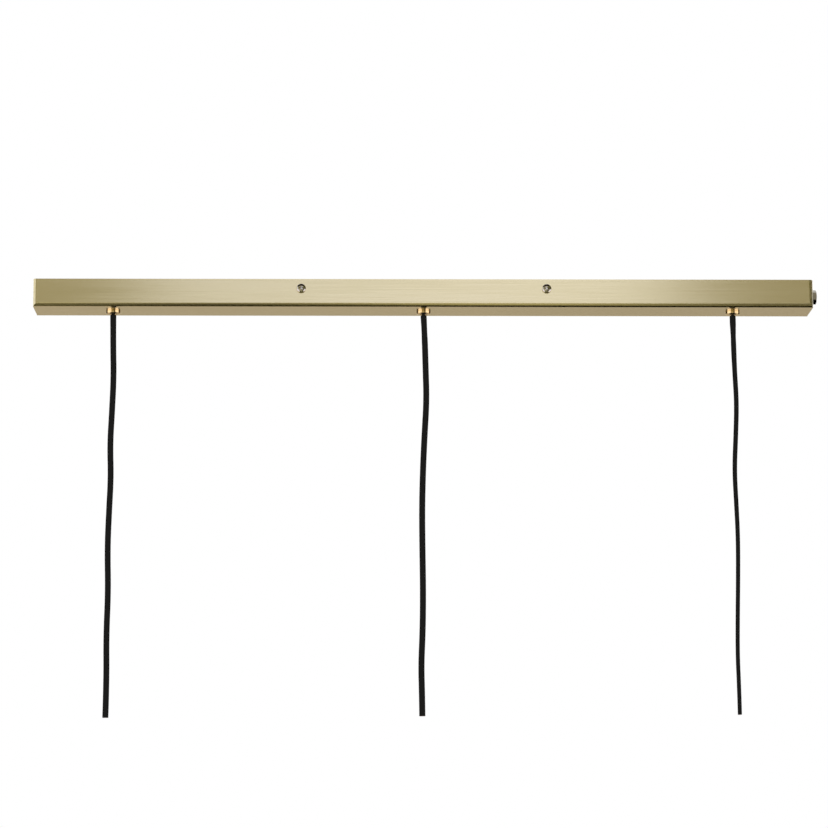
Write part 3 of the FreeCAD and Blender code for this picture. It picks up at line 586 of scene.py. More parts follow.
# The recess is cut by a wedge, or by two crossed wedges and a cone for a cross.
# The cone's sizes are shares of the blade's half width and of the recess's depth.
half_size = {"X": given["Reach"], "Y": given["Blade"], "Z": given["Depth"]}
wedge_size = add_node(tree, "ShaderNodeCombineXYZ", half_size)
wedge_size = add_node(tree, "ShaderNodeVectorMath", {"Vector": wedge_size, "Scale": 2.0}, operation="SCALE")
wedge = add_node(tree, "GeometryNodeMeshCube", {"Size": wedge_size})
at = add_node(tree, "GeometryNodeInputPosition")
rise = add_node(tree, "ShaderNodeSeparateXYZ", {0: at}).outputs["Z"]
rise = add_node(tree, "ShaderNodeMath", {0: rise, 1: given["Depth"]}, operation="DIVIDE")
taper = add_node(tree, "ShaderNodeCombineXYZ", {"X": given["Reach Taper"], "Y": given["Blade Taper"]})
wider = add_node(tree, "ShaderNodeVectorMath", {
    0: taper, 1: rise, 2: (1.0, 1.0, 1.0),
}, operation="MULTIPLY_ADD")
spot = add_node(tree, "ShaderNodeVectorMath", {0: at, 1: wider}, operation="MULTIPLY")
wedge = add_node(tree, "GeometryNodeSetPosition", {"Geometry": wedge, "Position": spot})
across = add_node(tree, "GeometryNodeTransform", {"Geometry": wedge, "Rotation": (0.0, 0.0, math.pi / 2)})
wide_end, narrow_end, cone_depth, cone_low = (
    add_node(tree, "ShaderNodeMath", {0: given[size], 1: share}, operation="MULTIPLY")
    for size, share in (("Blade", 3.4), ("Blade", 0.35), ("Depth", 2.3), ("Depth", -1.2))
)
cone = add_node(tree, "GeometryNodeMeshCone", {
    "Vertices": 24, "Radius Top": wide_end, "Radius Bottom": narrow_end, "Depth": cone_depth,
})
cone_place = add_node(tree, "ShaderNodeCombineXYZ", {"Z": cone_low})
cone = add_node(tree, "GeometryNodeTransform", {"Geometry": cone, "Translation": cone_place})
both = add_node(tree, "GeometryNodeMeshBoolean", {
    "Mesh 2": [wedge, across, cone],
}, operation="UNION", solver="EXACT")
cutter = add_node(tree, "GeometryNodeSwitch", {
    "Switch": given["Cross"], "False": wedge, "True": both,
}, input_type="GEOMETRY")
top = add_node(tree, "ShaderNodeCombineXYZ", {"Z": given["Head Height"]})
cutter = add_node(tree, "GeometryNodeTransform", {"Geometry": cutter, "Translation": top})
head = add_node(tree, "GeometryNodeMeshBoolean", {
    "Mesh 1": head, "Mesh 2": cutter,
}, operation="DIFFERENCE", solver="EXACT")

# The shank is a plain core, and its thread is a diamond section that follows a spiral.
ridge_share = 0.42
core_overlap = 0.2
unturned = 1.2
ridge = add_node(tree, "ShaderNodeMath", {0: given["Thread Pitch"], 1: ridge_share}, operation="MULTIPLY")
ridge_line = add_node(tree, "ShaderNodeMath", {0: given["Thread Radius"], 1: ridge}, operation="SUBTRACT")
whole = add_node(tree, "ShaderNodeMath", {0: given["Length"], 1: core_overlap}, operation="ADD")
middle = add_node(tree, "ShaderNodeMath", {
    0: given["Length"], 1: -0.5, 2: core_overlap / 2,
}, operation="MULTIPLY_ADD")
core = add_node(tree, "GeometryNodeMeshCylinder", {"Vertices": 32, "Radius": ridge_line, "Depth": whole})
core_place = add_node(tree, "ShaderNodeCombineXYZ", {"Z": middle})
core = add_node(tree, "GeometryNodeTransform", {"Geometry": core, "Translation": core_place})
turns = add_node(tree, "ShaderNodeMath", {0: given["Length"], 1: given["Thread Pitch"]}, operation="DIVIDE")
turns = add_node(tree, "ShaderNodeMath", {0: turns, 1: unturned}, operation="SUBTRACT")
climb = add_node(tree, "ShaderNodeMath", {0: turns, 1: given["Thread Pitch"]}, operation="MULTIPLY")
spiral = add_node(tree, "GeometryNodeCurveSpiral", {
    "Resolution": 24, "Rotations": turns, "Start Radius": ridge_line, "End Radius": ridge_line,
    "Height": climb,
})
spiral = add_node(tree, "GeometryNodeSetCurveNormal", {"Curve": spiral}, mode="Z_UP")
diamond = add_node(tree, "GeometryNodeCurvePrimitiveCircle", {"Resolution": 4, "Radius": ridge})
thread = add_node(tree, "GeometryNodeCurveToMesh", {
    "Curve": spiral, "Profile Curve": diamond, "Fill Caps": True,
})
thread_low = add_node(tree, "ShaderNodeMath", {0: given["Thread Pitch"], 1: 0.5}, operation="MULTIPLY")
thread_low = add_node(tree, "ShaderNodeMath", {0: thread_low, 1: given["Length"]}, operation="SUBTRACT")
thread_place = add_node(tree, "ShaderNodeCombineXYZ", {"Z": thread_low})
thread = add_node(tree, "GeometryNodeTransform", {"Geometry": thread, "Translation": thread_place})
whole = add_node(tree, "GeometryNodeJoinGeometry", {"Geometry": [head, core, thread]})
screw_tree = close_tree(tree, whole, given)


def new_screws(name, places, along, material, body, stands_for, *,
               thread_radius, pitch, length, head_radius, head_height, cross):
    """A piece of screws of one size, in millimetres. The cross or slot is worked out from the head."""
    screws = grown_mesh(name, screw_tree, places, {
        "Head Radius": head_radius, "Head Height": head_height, "Thread Radius": thread_radius,
        "Thread Pitch": pitch, "Length": length, "Blade": 0.13 * head_radius,
        "Reach": 0.5 * head_radius if cross else head_radius + 1.0,
        "Depth": (0.6 if cross else 0.45) * head_height,
        "Blade Taper": 0.35 if cross else 0.0, "Reach Taper": 0.65 if cross else 0.0,
        "Cross": cross, "Along": along, "Material": material,
    })
    new_piece(name, screws, material, body, [stands_for])


cover_screw_x = 0.126
cover_screw_z = -0.010
cover_screw_seat = tray_high.y + 0.0001
for row, side in (("front", -1), ("rear", 1)):
    for end, hand in (("left", -1), ("right", 1)):
        name = f"{row}_{end}_cover_screw"
        seat = (hand * cover_screw_x, side * cover_screw_seat, cover_screw_z)
        new_screws(
            f"{name}_pan_head", [seat], (0.0, side, 0.0), nickel,
            f"{row}_{end}_screw", name,
            thread_radius=2.5, pitch=0.8, length=12.0, head_radius=4.75, head_height=3.4, cross=True,
        )


# Outlet ferrules.
# Each is turned from brass bar and polished: a round collar with an eased lower edge, a lip at its mouth,
# and a hollow M10 stem that goes up through the tray.
turned_sides = 96


def turned_mesh(name, profile, centre):
    """A closed loop of (radius, height) points, in metres, turned about an upright axis."""
    points = []
    faces = []
    rows = len(profile)
    for i in range(turned_sides):
        angle = 2 * math.pi * i / turned_sides
        for radius, height in profile:
            points.append(centre + Vector((radius * math.cos(angle), radius * math.sin(angle), height)))
        this, after = i * rows, (i + 1) % turned_sides * rows
        for row in range(rows):
            above = (row + 1) % rows
            faces.append((this + row, this + above, after + above, after + row))
    mesh = bpy.data.meshes.new(name)
    mesh.from_pydata(points, [], faces)
    mesh.polygons.foreach_set("use_smooth", [True] * len(faces))
    mesh.set_sharp_from_angle(angle=crease_angle)
    return mesh


# Polished brass: a warm yellow mirror, with faint rings from the lathe.
turned_brass = metal(
    "polished_turned_brass", "#e0c48f", "#eed7a8", roughness=0.10, grain_mm=1.5, bump=0.12,
    stretch=(0.15, 0.15, 3.0),
)
collar_radius = 0.0072
collar_rim = 0.0020
collar_height = 0.0030
land_radius = 0.0059
mouth_radius = 0.00365
mouth_lip = 0.0008
bore_radius = 0.00415
stem_radius = 0.00495
stem_length = 0.0050
ease = 0.00015
bulge_steps = 12
collar_profile = [(mouth_radius + ease, -collar_height), (land_radius, -collar_height)]
for step in range(1, bulge_steps):
    angle = math.pi / 2 * (1 - step / bulge_steps)
    out = land_radius + (collar_radius - land_radius) * math.cos(angle)
    collar_profile.append((out, -collar_rim - (collar_height - collar_rim) * math.sin(angle)))
collar_profile += [
    (collar_radius, -collar_rim), (collar_radius, -ease), (collar_radius - ease, 0.0), (stem_radius, 0.0),
    (stem_radius, stem_length - 2 * ease), (stem_radius - 2 * ease, stem_length), (bore_radius, stem_length),
    (bore_radius, mouth_lip - collar_height), (mouth_radius, mouth_lip - collar_height),
    (mouth_radius, ease - collar_height),
]
for name, x in outlet_x.items():
    piece_name = f"{name}_turned_ferrule"
    ferrule = turned_mesh(piece_name, collar_profile, Vector((x, 0.0, tray_low.z)))
    new_piece(piece_name, ferrule, turned_brass, "canopy", [f"{name}_ferrule"])


# Outlet bushes.
# A black nylon liner sits in each ferrule on its lip, and keeps the braid off the brass.

# Moulded nylon: black, with the soft shine of a finely etched mould.
black_nylon = plastic("moulded_black_nylon", "#0b0b0b", "#131313", roughness=0.45, grain_mm=0.3, bump=0.4)
dress(black_nylon, "black_nylon", *[f"{name}_bush" for name in outlet_x])


# Star washers and locknuts.
# A stamped spring steel washer bites the tray's floor with twisted teeth, under a thin brass hexagon nut.
tree, given = sized_tree("toothed_washer", (
    "Inner Radius", "Root Radius", "Outer Radius", "Sheet", "Height", "Tooth Width", "Twist",
), Teeth="Int")
tooth_overlap = 0.2
inner, root, outer = given["Inner Radius"], given["Root Radius"], given["Outer Radius"]
band = add_node(tree, "ShaderNodeMath", {0: root, 1: inner}, operation="SUBTRACT")
ring_radius = add_node(tree, "ShaderNodeMath", {0: root, 1: inner}, operation="ADD")
ring_radius = add_node(tree, "ShaderNodeMath", {0: ring_radius, 1: 0.5}, operation="MULTIPLY")
ring = add_node(tree, "GeometryNodeCurvePrimitiveCircle", {"Resolution": 96, "Radius": ring_radius})
ring = add_node(tree, "GeometryNodeSetCurveNormal", {"Curve": ring}, mode="Z_UP")
strip = add_node(tree, "GeometryNodeCurvePrimitiveQuadrilateral", {"Width": band, "Height": given["Sheet"]})
ring = add_node(tree, "GeometryNodeCurveToMesh", {"Curve": ring, "Profile Curve": strip})
reach = add_node(tree, "ShaderNodeMath", {0: outer, 1: root}, operation="SUBTRACT")
reach = add_node(tree, "ShaderNodeMath", {0: reach, 1: tooth_overlap}, operation="ADD")
tooth_size = {"X": reach, "Y": given["Tooth Width"], "Z": given["Sheet"]}
tooth_size = add_node(tree, "ShaderNodeCombineXYZ", tooth_size)
tooth = add_node(tree, "GeometryNodeMeshCube", {"Size": tooth_size})
twist = add_node(tree, "ShaderNodeCombineXYZ", {"X": given["Twist"]})
tooth = add_node(tree, "GeometryNodeTransform", {"Geometry": tooth, "Rotation": twist})
tooth_line = add_node(tree, "ShaderNodeMath", {0: reach, 1: -0.5}, operation="MULTIPLY")
tooth_line = add_node(tree, "ShaderNodeMath", {0: tooth_line, 1: outer}, operation="ADD")
roots = add_node(tree, "GeometryNodeMeshCircle", {"Vertices": given["Teeth"], "Radius": tooth_line})
out_way = add_node(tree, "GeometryNodeInputPosition")
out_way = add_node(tree, "FunctionNodeAlignRotationToVector", {"Vector": out_way}, axis="X")
teeth = add_node(tree, "GeometryNodeInstanceOnPoints", {
    "Points": roots, "Instance": tooth, "Rotation": out_way,
})
whole = add_node(tree, "GeometryNodeJoinGeometry", {"Geometry": [ring, teeth]})
half_height = add_node(tree, "ShaderNodeMath", {0: given["Height"], 1: 0.5}, operation="MULTIPLY")
lift = add_node(tree, "ShaderNodeCombineXYZ", {"Z": half_height})
whole = add_node(tree, "GeometryNodeTransform", {"Geometry": whole, "Translation": lift})
washer_tree = close_tree(tree, whole, given)


def new_washer(name, place, along, stands_for, sizes):
    """A piece of one toothed washer, its sizes in millimetres."""
    washer = grown_mesh(name, washer_tree, [place], {**sizes, "Along": along, "Material": zinc})
    new_piece(name, washer, zinc, "canopy", [stands_for])


# Machined brass: a dull yellow, its shine broken by fine tool marks.
raw_brass = metal("machined_brass", "#b3934e", "#cdae68", roughness=0.26, grain_mm=0.8, bump=0.4)
floor_z = tray_low.z + tray_sheet
outlet_washer = {
    "Inner Radius": 5.05, "Root Radius": 6.5, "Outer Radius": 8.0, "Sheet": 0.4, "Height": 0.7,
    "Teeth": 12, "Tooth Width": 1.6, "Twist": 0.2,
}
up = (0.0, 0.0, 1.0)
for name, x in outlet_x.items():
    new_washer(f"{name}_toothed_washer", (x, 0.0, floor_z), up, f"{name}_star_washer", outlet_washer)
    dress(raw_brass, "raw_brass", f"{name}_locknut")


# Cord stops.
# A natural nylon collar stands on each ferrule's stem and is clamped on the cord's flat side
# by one slotted M3 screw, so that no pull reaches the wires.

# Natural nylon: ivory, with a soft waxy shine.
natural_nylon = plastic(
    "moulded_natural_nylon", "#dcd9cf", "#e6e3da", roughness=0.40, grain_mm=0.4, bump=0.3,
)
stop_flat = 0.006
stop_screw_z = -0.0195
for name, x in outlet_x.items():
    dress(natural_nylon, "white_nylon", f"{name}_cord_stop")
    new_screws(
        f"{name}_slotted_screw", [(x, -stop_flat, stop_screw_z)], (0.0, -1.0, 0.0), zinc,
        f"{name}_clamp_screw", f"{name}_stop_screw",
        thread_radius=1.5, pitch=0.5, length=4.05, head_radius=2.7, head_height=1.8, cross=False,
    )


# Clamped cord ends.
# The top of each cord stands in its stop, cut off square, and its two wires come out of the braid.
tail_low_z = -0.03005
tail_top_z = -0.0123
for name, x in outlet_x.items():
    line = even_line([Vector((x, 0.0, tail_low_z)), Vector((x, 0.0, tail_top_z))], braid_step)
    tail = braided_cord(f"{name}_clamped_braid", line, [(0.0, 0), (1.0, 0)], False)[0]
    new_piece(f"{name}_clamped_braid", tail, braid_material, "canopy", [f"{name}_cord_tail"])


# Wires in the tray.
# Each cord's blue and brown wires, 2.4 mm PVC on 0.75 mm2 copper, run to the terminal block.
# The outer ones lie on the tray's floor, and the middle ones go over in a slack bow.
block_x = 0.070
block_width = 0.020
pole_y = {"neutral": -0.011, "live": 0.0, "earth": 0.011}
pole_z = -0.009
entry_stack = 0.00125
entry_depth = 0.003
slip_gap = 0.0001
lane = 0.0125
core_top_z = -0.0042
core_rest_z = floor_z + core_radius + slip_gap
fall_run = 0.060
climb_run = 0.052
entry_run = 0.007
longest_run = 0.048
wander = 0.0013
wander_step = 1.9
bow_sag = 0.0028
earth_bow_sag = 0.0018

# Each step is three shares: of the run ahead, of the way across, of the height.
core_rise = [(0.0, 0.0, 0.0), (0.0, 0.0, 0.54), (0.023, 0.26, 0.94), (0.108, 0.64, 1.0)]
core_fall = [(0.27, 0.88, 0.17), (0.47, 0.98, 0.51), (0.7, 1.0, 0.85), (1.0, 0.96, 1.0)]
core_climb = [(0.0, 0.0, 0.03), (0.33, 0.33, 0.33), (0.62, 0.67, 0.79)]
core_bow = [(0.27, 0.32, 0.43), (0.48, 0.46, 1.0), (0.69, 0.78, 0.5)]
earth_bow = [(0.2, 0.0, 0.0), (0.38, 0.12, 1.0), (0.54, 0.5, 0.33)]


def core_start(start_x, heading, side):
    """A wire's way up out of the cord's end and over towards its lane."""
    climb = core_top_z - tail_top_z
    return [
        (start_x + heading * ahead * fall_run, side * out * lane, tail_top_z + up * climb)
        for ahead, out, up in core_rise
    ]


def core_finish(heading, y, z):
    """A wire's way into the terminal block, straight for its last stretch."""
    face_x = block_x - heading * block_width / 2
    return [(face_x - heading * entry_run, y, z), (face_x + heading * (entry_depth - slip_gap), y, z)]


def core_route(outlet, pole):
    """The points of one wire, from its cord's end to its pole."""
    side = -1 if pole == "neutral" else 1
    start_x = outlet_x[outlet] + side * core_pitch / 2
    lane_y = side * lane
    end_y = pole_y[pole]
    if outlet == "centre":
        entry_z = pole_z + entry_stack
        points = core_start(start_x, 1, side)
        for share, across, sag in core_bow:
            x = start_x + share * (block_x - block_width / 2 - start_x)
            points.append((x, lane_y + across * (end_y - lane_y), entry_z - sag * bow_sag))
        return points + core_finish(1, end_y, entry_z)
    heading = 1 if outlet == "left" else -1
    entry_z = pole_z - entry_stack
    landed_x = start_x + heading * fall_run
    climb_x = block_x - heading * (block_width / 2 + climb_run)
    points = core_start(start_x, heading, side)
    for ahead, out, down in core_fall:
        z = core_top_z + down * (core_rest_z - core_top_z)
        points.append((start_x + heading * ahead * fall_run, out * lane_y, z))
    count = math.ceil(abs(climb_x - landed_x) / longest_run)
    for i in range(1, count):
        x = landed_x + (climb_x - landed_x) * i / count
        points.append((x, lane_y + wander * math.sin(wander_step * i), core_rest_z))
    for ahead, across, up in core_climb:
        y = lane_y + across * (end_y - lane_y)
        points.append((climb_x + heading * ahead * climb_run, y, core_rest_z + up * (entry_z - core_rest_z)))
    return points + core_finish(heading, end_y, entry_z)


wire_sides = 16
stripe_sides = 3
wire_step = 0.0010


def wire_mesh(name, route):
    """A round wire along a smooth line, with an attribute that is 1 on two stripes along it."""
    line = even_line(smooth_line(route), wire_step)
    mesh = mesh_from_rings(name, [
        round_ring(point, side, ahead.cross(side), core_radius, wire_sides)
        for _, point, ahead, side in carried_frames(line, Vector((1, 0, 0.01)))
    ])
    stripes = [float(i % (wire_sides // 2) < stripe_sides) for i in range(len(mesh.vertices))]
    mesh.attributes.new("stripe", "FLOAT", "POINT").data.foreach_set("value", stripes)
    return mesh


for name in outlet_x:
    for pole, _, pvc, slot in flex_cores:
        wire = wire_mesh(f"{name}_{pole}_wire", core_route(name, pole))
        new_piece(f"{name}_{pole}_wire", wire, pvc, "canopy", [f"{name}_{pole}_core"])


# Terminal block.
# A moulded nylon housing holds three machined brass sleeves, each with two slotted clamp screws from below.
# Two screws hold it up against the strap, and every wire's bare strands end inside a sleeve.
dress(natural_nylon, "white_nylon", "terminal_block")
dress(raw_brass, "raw_brass", "terminal_sleeves")
terminal_screw_reach = 0.004
terminal_seat_z = -0.0139
block_screw_y = 0.0055
block_seat_z = -0.0155
down = (0.0, 0.0, -1.0)
places = [
    (block_x + hand * terminal_screw_reach, y, terminal_seat_z) for y in pole_y.values() for hand in (-1, 1)
]
new_screws(
    "terminal_clamp_screws", places, down, zinc, "canopy", "terminal_screws",
    thread_radius=1.75, pitch=0.6, length=2.6, head_radius=2.2, head_height=1.8, cross=False,
)
places = [(block_x, hand * block_screw_y, block_seat_z) for hand in (-1, 1)]
new_screws(
    "block_fixing_screws", places, down, zinc, "canopy", "block_screws",
    thread_radius=1.5, pitch=0.5, length=15.4, head_radius=2.75, head_height=1.8, cross=True,
)

bare_length = 5.0
core_ys = (pole_y["neutral"], pole_y["live"])
for way, heading, lifts in (("left", 1, (-entry_stack, entry_stack)), ("right", -1, (-entry_stack,))):
    places = [core_finish(heading, y, pole_z + lift)[-1] for y in core_ys for lift in lifts]
    if way == "left":
        places.append(core_finish(1, pole_y["earth"], pole_z)[-1])
    strands = grown_mesh(f"bared_strands_from_{way}", strand_tree, places, {
        **strand_sizes, "Length": 2 * bare_length, "Along": (heading, 0.0, 0.0),
    })
    new_piece(f"bared_strands_from_{way}", strands, copper, "canopy", ["bared_core_ends"])


# Earth point.
# A tinned ring lug under the strap takes the short green and yellow wire from the block.
# A screw and a toothed washer hold it to the bare zinc.

# Tin plate: pale grey and satin.
tinned_copper = metal("tin_plated_copper", "#b3b2ac", "#cfcec8", roughness=0.24, grain_mm=1.0, bump=0.4)
dress(tinned_copper, "tinned_copper", "earth_lug")
earth_place = (0.020, 0.006)
lug_low_z = -0.0028
earth_seat_z = -0.0034
new_washer("earth_toothed_washer", (*earth_place, lug_low_z), down, "earth_washer", {
    "Inner Radius": 2.1, "Root Radius": 3.3, "Outer Radius": 4.4, "Sheet": 0.35, "Height": 0.6,
    "Teeth": 12, "Tooth Width": 0.9, "Twist": 0.25,
})
new_screws(
    "earth_pan_head", [(*earth_place, earth_seat_z)], down, zinc, "canopy", "earth_screw",
    thread_radius=2.0, pitch=0.7, length=3.3, head_radius=3.8, head_height=2.4, cross=True,
)

# Green insulation with a yellow stripe on two sides, extruded together.
earth_pvc, tree = new_material("extruded_green_and_yellow_pvc")
stripe = add_node(tree, "ShaderNodeAttribute", attribute_name="stripe").outputs["Fac"]
colour = add_node(tree, "ShaderNodeValToRGB", {"Fac": stripe}, [(0.45, "#2f8a3c"), (0.55, "#e3c522")])
place = add_node(tree, "ShaderNodeTexCoord").outputs["Object"]
grain = add_node(tree, "ShaderNodeTexNoise", {"Vector": place, "Scale": 1000.0, "Detail": 2.0})
relief = add_node(tree, "ShaderNodeBump", {"Height": grain, "Strength": 0.2, "Distance": 0.00003})
close_material(tree, add_node(tree, "ShaderNodeBsdfPrincipled", {
    "Base Color": colour, "Roughness": 0.36, "Normal": relief,
}))
lug_end_x = 0.032
barrel_length = 0.007
barrel_stop = 0.0013
barrel_lead = 0.0045
barrel_z = -0.0038
first = core_finish(1, pole_y["earth"], pole_z)[-1]
last = (lug_end_x - barrel_length + barrel_stop + slip_gap, earth_place[1], barrel_z)
route = [first]
for share, across, sag in earth_bow:
    x = first[0] + share * (last[0] - first[0])
    route.append((x, first[1] + across * (last[1] - first[1]), first[2] - sag * earth_bow_sag))
route += [(lug_end_x + barrel_lead, earth_place[1], barrel_z), last]
new_piece("earth_wire", wire_mesh("earth_wire", route), earth_pvc, "canopy", ["earth_core"])


# Supply gland.
# A plated brass gland in the right end face: a hexagon body and its nut, which squeezes a rubber sleeve
# on the supply cable. A toothed washer and a thin nut hold it inside.

# Nickel plated in a barrel: grey, and softer in its shine than the cover screws. The rubber is matt black.
dull_nickel = metal("tumbled_nickel_plate", "#8f8a7e", "#a8a294", roughness=0.22, grain_mm=1.2, bump=0.3)
black_rubber = plastic("moulded_black_rubber", "#0c0c0c", "#161616", roughness=0.65, grain_mm=0.3, bump=0.6)
dress(dull_nickel, "polished_nickel", "inlet_body", "inlet_nut")
dress(black_rubber, "black_rubber", "inlet_seal")
dress(zinc, "zinc_plate", "inlet_locknut")
inlet_z = -0.013
inlet_face = (tray_high.x - tray_sheet, 0.0, inlet_z)
new_washer("inlet_toothed_washer", inlet_face, (-1.0, 0.0, 0.0), "inlet_washer", outlet_washer)


# Floor.
# A plain pale floor well under the object, seen in the views from above and by the metal.
ground_z = -2.4
ground_reach = 40.0
floor_mesh = bpy.data.meshes.new("studio_floor")
floor_mesh.from_pydata([
    (-ground_reach, -ground_reach, ground_z), (ground_reach, -ground_reach, ground_z),
    (ground_reach, ground_reach, ground_z), (-ground_reach, ground_reach, ground_z),
], [], [(0, 1, 2, 3)])
floor = bpy.data.objects.new("studio_floor", floor_mesh)
scene.collection.objects.link(floor)
floor_material, tree = new_material("matt_pale_floor")
rays = add_node(tree, "ShaderNodeLightPath")
paint = add_node(tree, "ShaderNodeBsdfDiffuse", {"Color": linear("#dcd3b4")})
glow = add_node(tree, "ShaderNodeEmission", {"Color": linear("#f6f6ff"), "Strength": 0.55})
seen = add_node(tree, "ShaderNodeAddShader", {0: paint, 1: glow})
shine = add_node(tree, "ShaderNodeEmission", {"Color": linear("#ddc9b2"), "Strength": 0.36})
mirrored = add_node(tree, "ShaderNodeAddShader", {0: paint, 1: shine})
plain = add_node(tree, "ShaderNodeMixShader", {0: rays.outputs["Is Glossy Ray"], 1: paint, 2: mirrored})
close_material(tree, add_node(tree, "ShaderNodeMixShader", {
    0: rays.outputs["Is Camera Ray"], 1: plain, 2: seen,
}))
floor_mesh.materials.append(floor_material)


# World.
# White to the camera, to gloss and through glass, and a plain soft light on everything else.
world = bpy.data.worlds.new("white_studio")
scene.world = world
world.use_nodes = True
tree = world.node_tree
tree.nodes.clear()
rays = add_node(tree, "ShaderNodeLightPath")
seen = rays.outputs["Is Camera Ray"]
for kind in ("Is Glossy Ray", "Is Transmission Ray"):
    seen = add_node(tree, "ShaderNodeMath", {0: seen, 1: rays.outputs[kind]}, operation="MAXIMUM")
strength = add_node(tree, "ShaderNodeMapRange", {"Value": seen, "To Min": 0.3, "To Max": 1.0})
background = add_node(tree, "ShaderNodeBackground", {"Color": (1.0, 1.0, 1.0, 1.0), "Strength": strength})
add_node(tree, "ShaderNodeOutputWorld", {"Surface": background})


# Lamps.
# A broad key lamp beside the camera lights the cloth and plastic, and doesn't show in the metal.
# What the metal mirrors are cards round it: a cream wall behind the camera, paler and darker in places low
# down, with one long soft box before it, white cards at both sides, dark cloth above and black carpet below.
def mirrored_card(name, corners, hex_colour, strength, other_end=None, twice_mirrored=None):
    """A card that only shows in the metal. It may change towards its right end, or after a second mirror."""
    mesh = bpy.data.meshes.new(name)
    mesh.from_pydata(corners, [], [(0, 1, 2, 3)])
    card = bpy.data.objects.new(name, mesh)
    scene.collection.objects.link(card)
    for hidden_from in ("camera", "diffuse", "transmission", "shadow"):
        setattr(card, f"visible_{hidden_from}", False)
    material, tree = new_material(name)
    if other_end:
        place = add_node(tree, "ShaderNodeTexCoord").outputs["Object"]
        across = add_node(tree, "ShaderNodeSeparateXYZ", {"Vector": place}).outputs["X"]
        strength = add_node(tree, "ShaderNodeMapRange", {
            "Value": across, "From Min": corners[0][0], "From Max": corners[1][0], "To Min": strength,
            "To Max": other_end,
        })
    if twice_mirrored:
        bounces = add_node(tree, "ShaderNodeLightPath").outputs["Glossy Depth"]
        strength = add_node(tree, "ShaderNodeMapRange", {
            "Value": bounces, "From Min": 1.0, "From Max": 2.0, "To Min": strength, "To Max": twice_mirrored,
        })
    colour = linear(hex_colour)
    close_material(tree, add_node(tree, "ShaderNodeEmission", {"Color": colour, "Strength": strength}))
    material.cycles.emission_sampling = "NONE"
    mesh.materials.append(material)


def upright_card(name, left, right, low_z, high_z, *look):
    """A card that stands on the line between two (x, y) places."""
    mirrored_card(name, [(*left, low_z), (*right, low_z), (*right, high_z), (*left, high_z)], *look)


def lying_card(name, low_x, high_x, near_y, far_y, z, *look):
    """A card that lies level."""
    corners = [(low_x, near_y, z), (high_x, near_y, z), (high_x, far_y, z), (low_x, far_y, z)]
    mirrored_card(name, corners, *look)


key_data = bpy.data.lights.new("front_key_lamp", "AREA")
key_data.size = 1.6
key_data.energy = 80.0
key = bpy.data.objects.new("front_key_lamp", key_data)
scene.collection.objects.link(key)
key_place = Vector((-0.8, -4.2, 0.1))
key_aim = (Vector((0.0, 0.0, -0.2)) - key_place).to_track_quat("-Z", "Y")
key.matrix_world = Matrix.Translation(key_place) @ key_aim.to_matrix().to_4x4()
key.visible_camera = False
key.visible_glossy = False

wall_y = -7.0
wall_reach = 9.0
wall_top_z = 4.2
cloth_y = -1.5
cloth_z = 3.6
cloth_reach = 6.0
card_z = -2.3
side_card_z = card_z + 0.02
cream = "#ded5b2"
carpet_cream = "#ded5a0"
dark_cloth = "#b08a4a"
upright_card("cream_wall", (-wall_reach, wall_y), (wall_reach, wall_y), 0.0, wall_top_z, cream, 0.56)
for name, left_x, right_x, strength in (
    ("far_left_low_wall", -wall_reach, -0.83, 0.85), ("left_low_wall", -0.83, -0.5, 0.58),
    ("inner_left_low_wall", -0.5, -0.1, 0.5), ("middle_low_wall", -0.1, 1.0, 0.78),
    ("right_low_wall", 1.0, 1.3, 0.3), ("far_right_low_wall", 1.3, wall_reach, 0.1),
):
    upright_card(name, (left_x, wall_y), (right_x, wall_y), card_z, 0.0, cream, strength)
for name, near_y, near_z, far_y, strength in (
    ("dark_ceiling_cloth", wall_y, wall_top_z, cloth_y, 0.05),
    ("dark_upper_cloth", cloth_y, cloth_z, 0.1, 0.02),
):
    mirrored_card(name, [
        (-cloth_reach, near_y, near_z), (cloth_reach, near_y, near_z), (cloth_reach, far_y, cloth_z),
        (-cloth_reach, far_y, cloth_z),
    ], dark_cloth, strength)

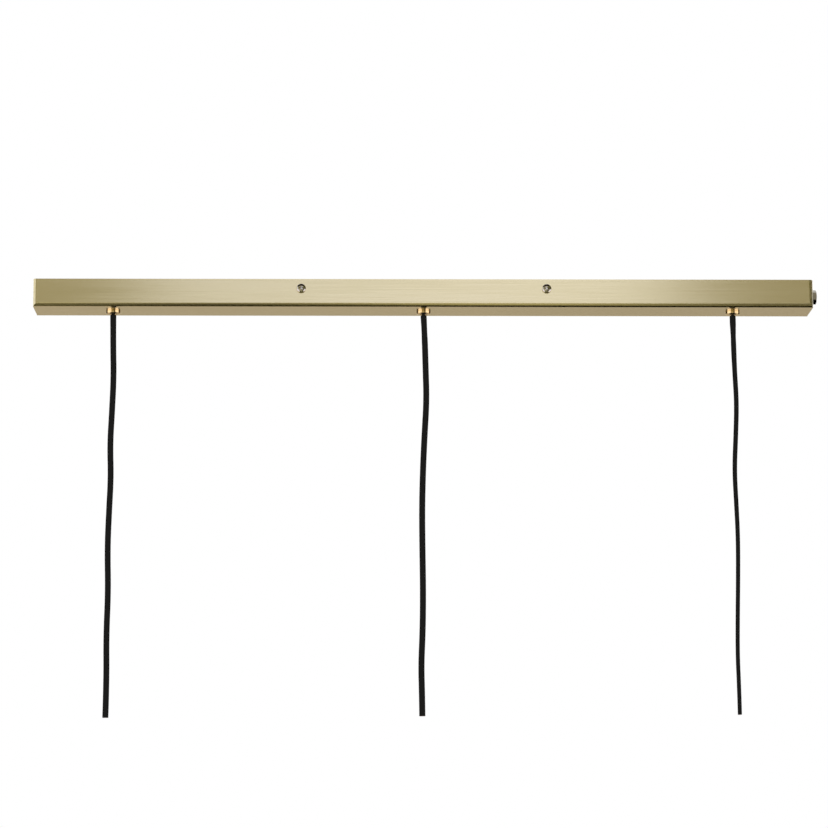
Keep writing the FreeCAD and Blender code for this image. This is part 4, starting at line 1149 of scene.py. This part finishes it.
# Carpets: pale ones towards the camera, some of which fade to the right, and black ones under the bar.
for name, low_x, high_x, near_y, far_y, *look in (
    ("left_end_carpet", -wall_reach, -0.6, wall_y, -0.95, 0.24),
    ("left_front_carpet", -0.6, -0.35, wall_y, -1.0, 0.12),
    ("left_carpet_fade", -0.35, 0.1, wall_y, -1.35, 0.1, 0.5),
    ("middle_front_carpet", 0.1, 0.42, wall_y, -0.95, 0.65),
    ("right_carpet_fade", 0.42, 0.62, wall_y, -0.95, 0.58, 0.36),
    ("right_front_carpet", 0.62, wall_reach, wall_y, -0.95, 0.2),
    ("left_low_carpet", -1.38, -0.5, -0.95, 1.7, 0.12),
):
    lying_card(name, low_x, high_x, near_y, far_y, card_z, carpet_cream, *look)
for name, low_x, high_x, near_y, far_y in (
    ("black_left_carpet", -0.5, -0.35, -1.0, 1.9), ("black_inner_carpet", -0.35, 0.1, -1.35, 1.9),
    ("black_middle_carpet", 0.1, 0.35, -0.95, 2.6), ("black_right_carpet", 0.35, 1.4, -0.95, 3.6),
):
    lying_card(name, low_x, high_x, near_y, far_y, card_z, dark_cloth, 0.0)

# Side cards. The standing white ones are brighter after a second mirroring, which lights the ferrules.
for name, low_x, high_x in (("low_left_white_card", -4.5, -1.4), ("low_right_white_card", 1.8, 4.5)):
    lying_card(name, low_x, high_x, -0.9, 2.0, card_z, "#fffaf0", 1.3)
for name, low_x, high_x in (("left_side_low_card", -6.0, -1.5), ("right_side_low_card", 1.8, 6.0)):
    lying_card(name, low_x, high_x, -5.0, -0.92, side_card_z, "#fff6ee", 1.15)
for side, near, beside, behind in (
    ("left", (-2.7, -4.2), (-3.6, 0.6), (-1.7, 5.2)), ("right", (2.9, -4.2), (3.8, 0.6), (2.0, 5.2)),
):
    upright_card(f"standing_{side}_white_card", near, beside, card_z, -0.2, "#f6efff", 1.35, None, 1.95)
    upright_card(f"rear_{side}_dark_card", beside, behind, card_z, -0.05, dark_cloth, 0.06)
upright_card("long_soft_box", (-0.63, -5.0), (0.80, -5.0), 0.2, 2.1, "#f1f1fa", 1.06, 1.33)
upright_card("left_white_card", (-3.5, -1.5), (-3.5, 3.0), -0.05, 2.2, "#ffffff", 1.15)
upright_card("right_dark_card", (1.65, -5.5), (3.4, 2.0), -0.05, 3.0, "#d8cf8c", 0.32, 0.06)
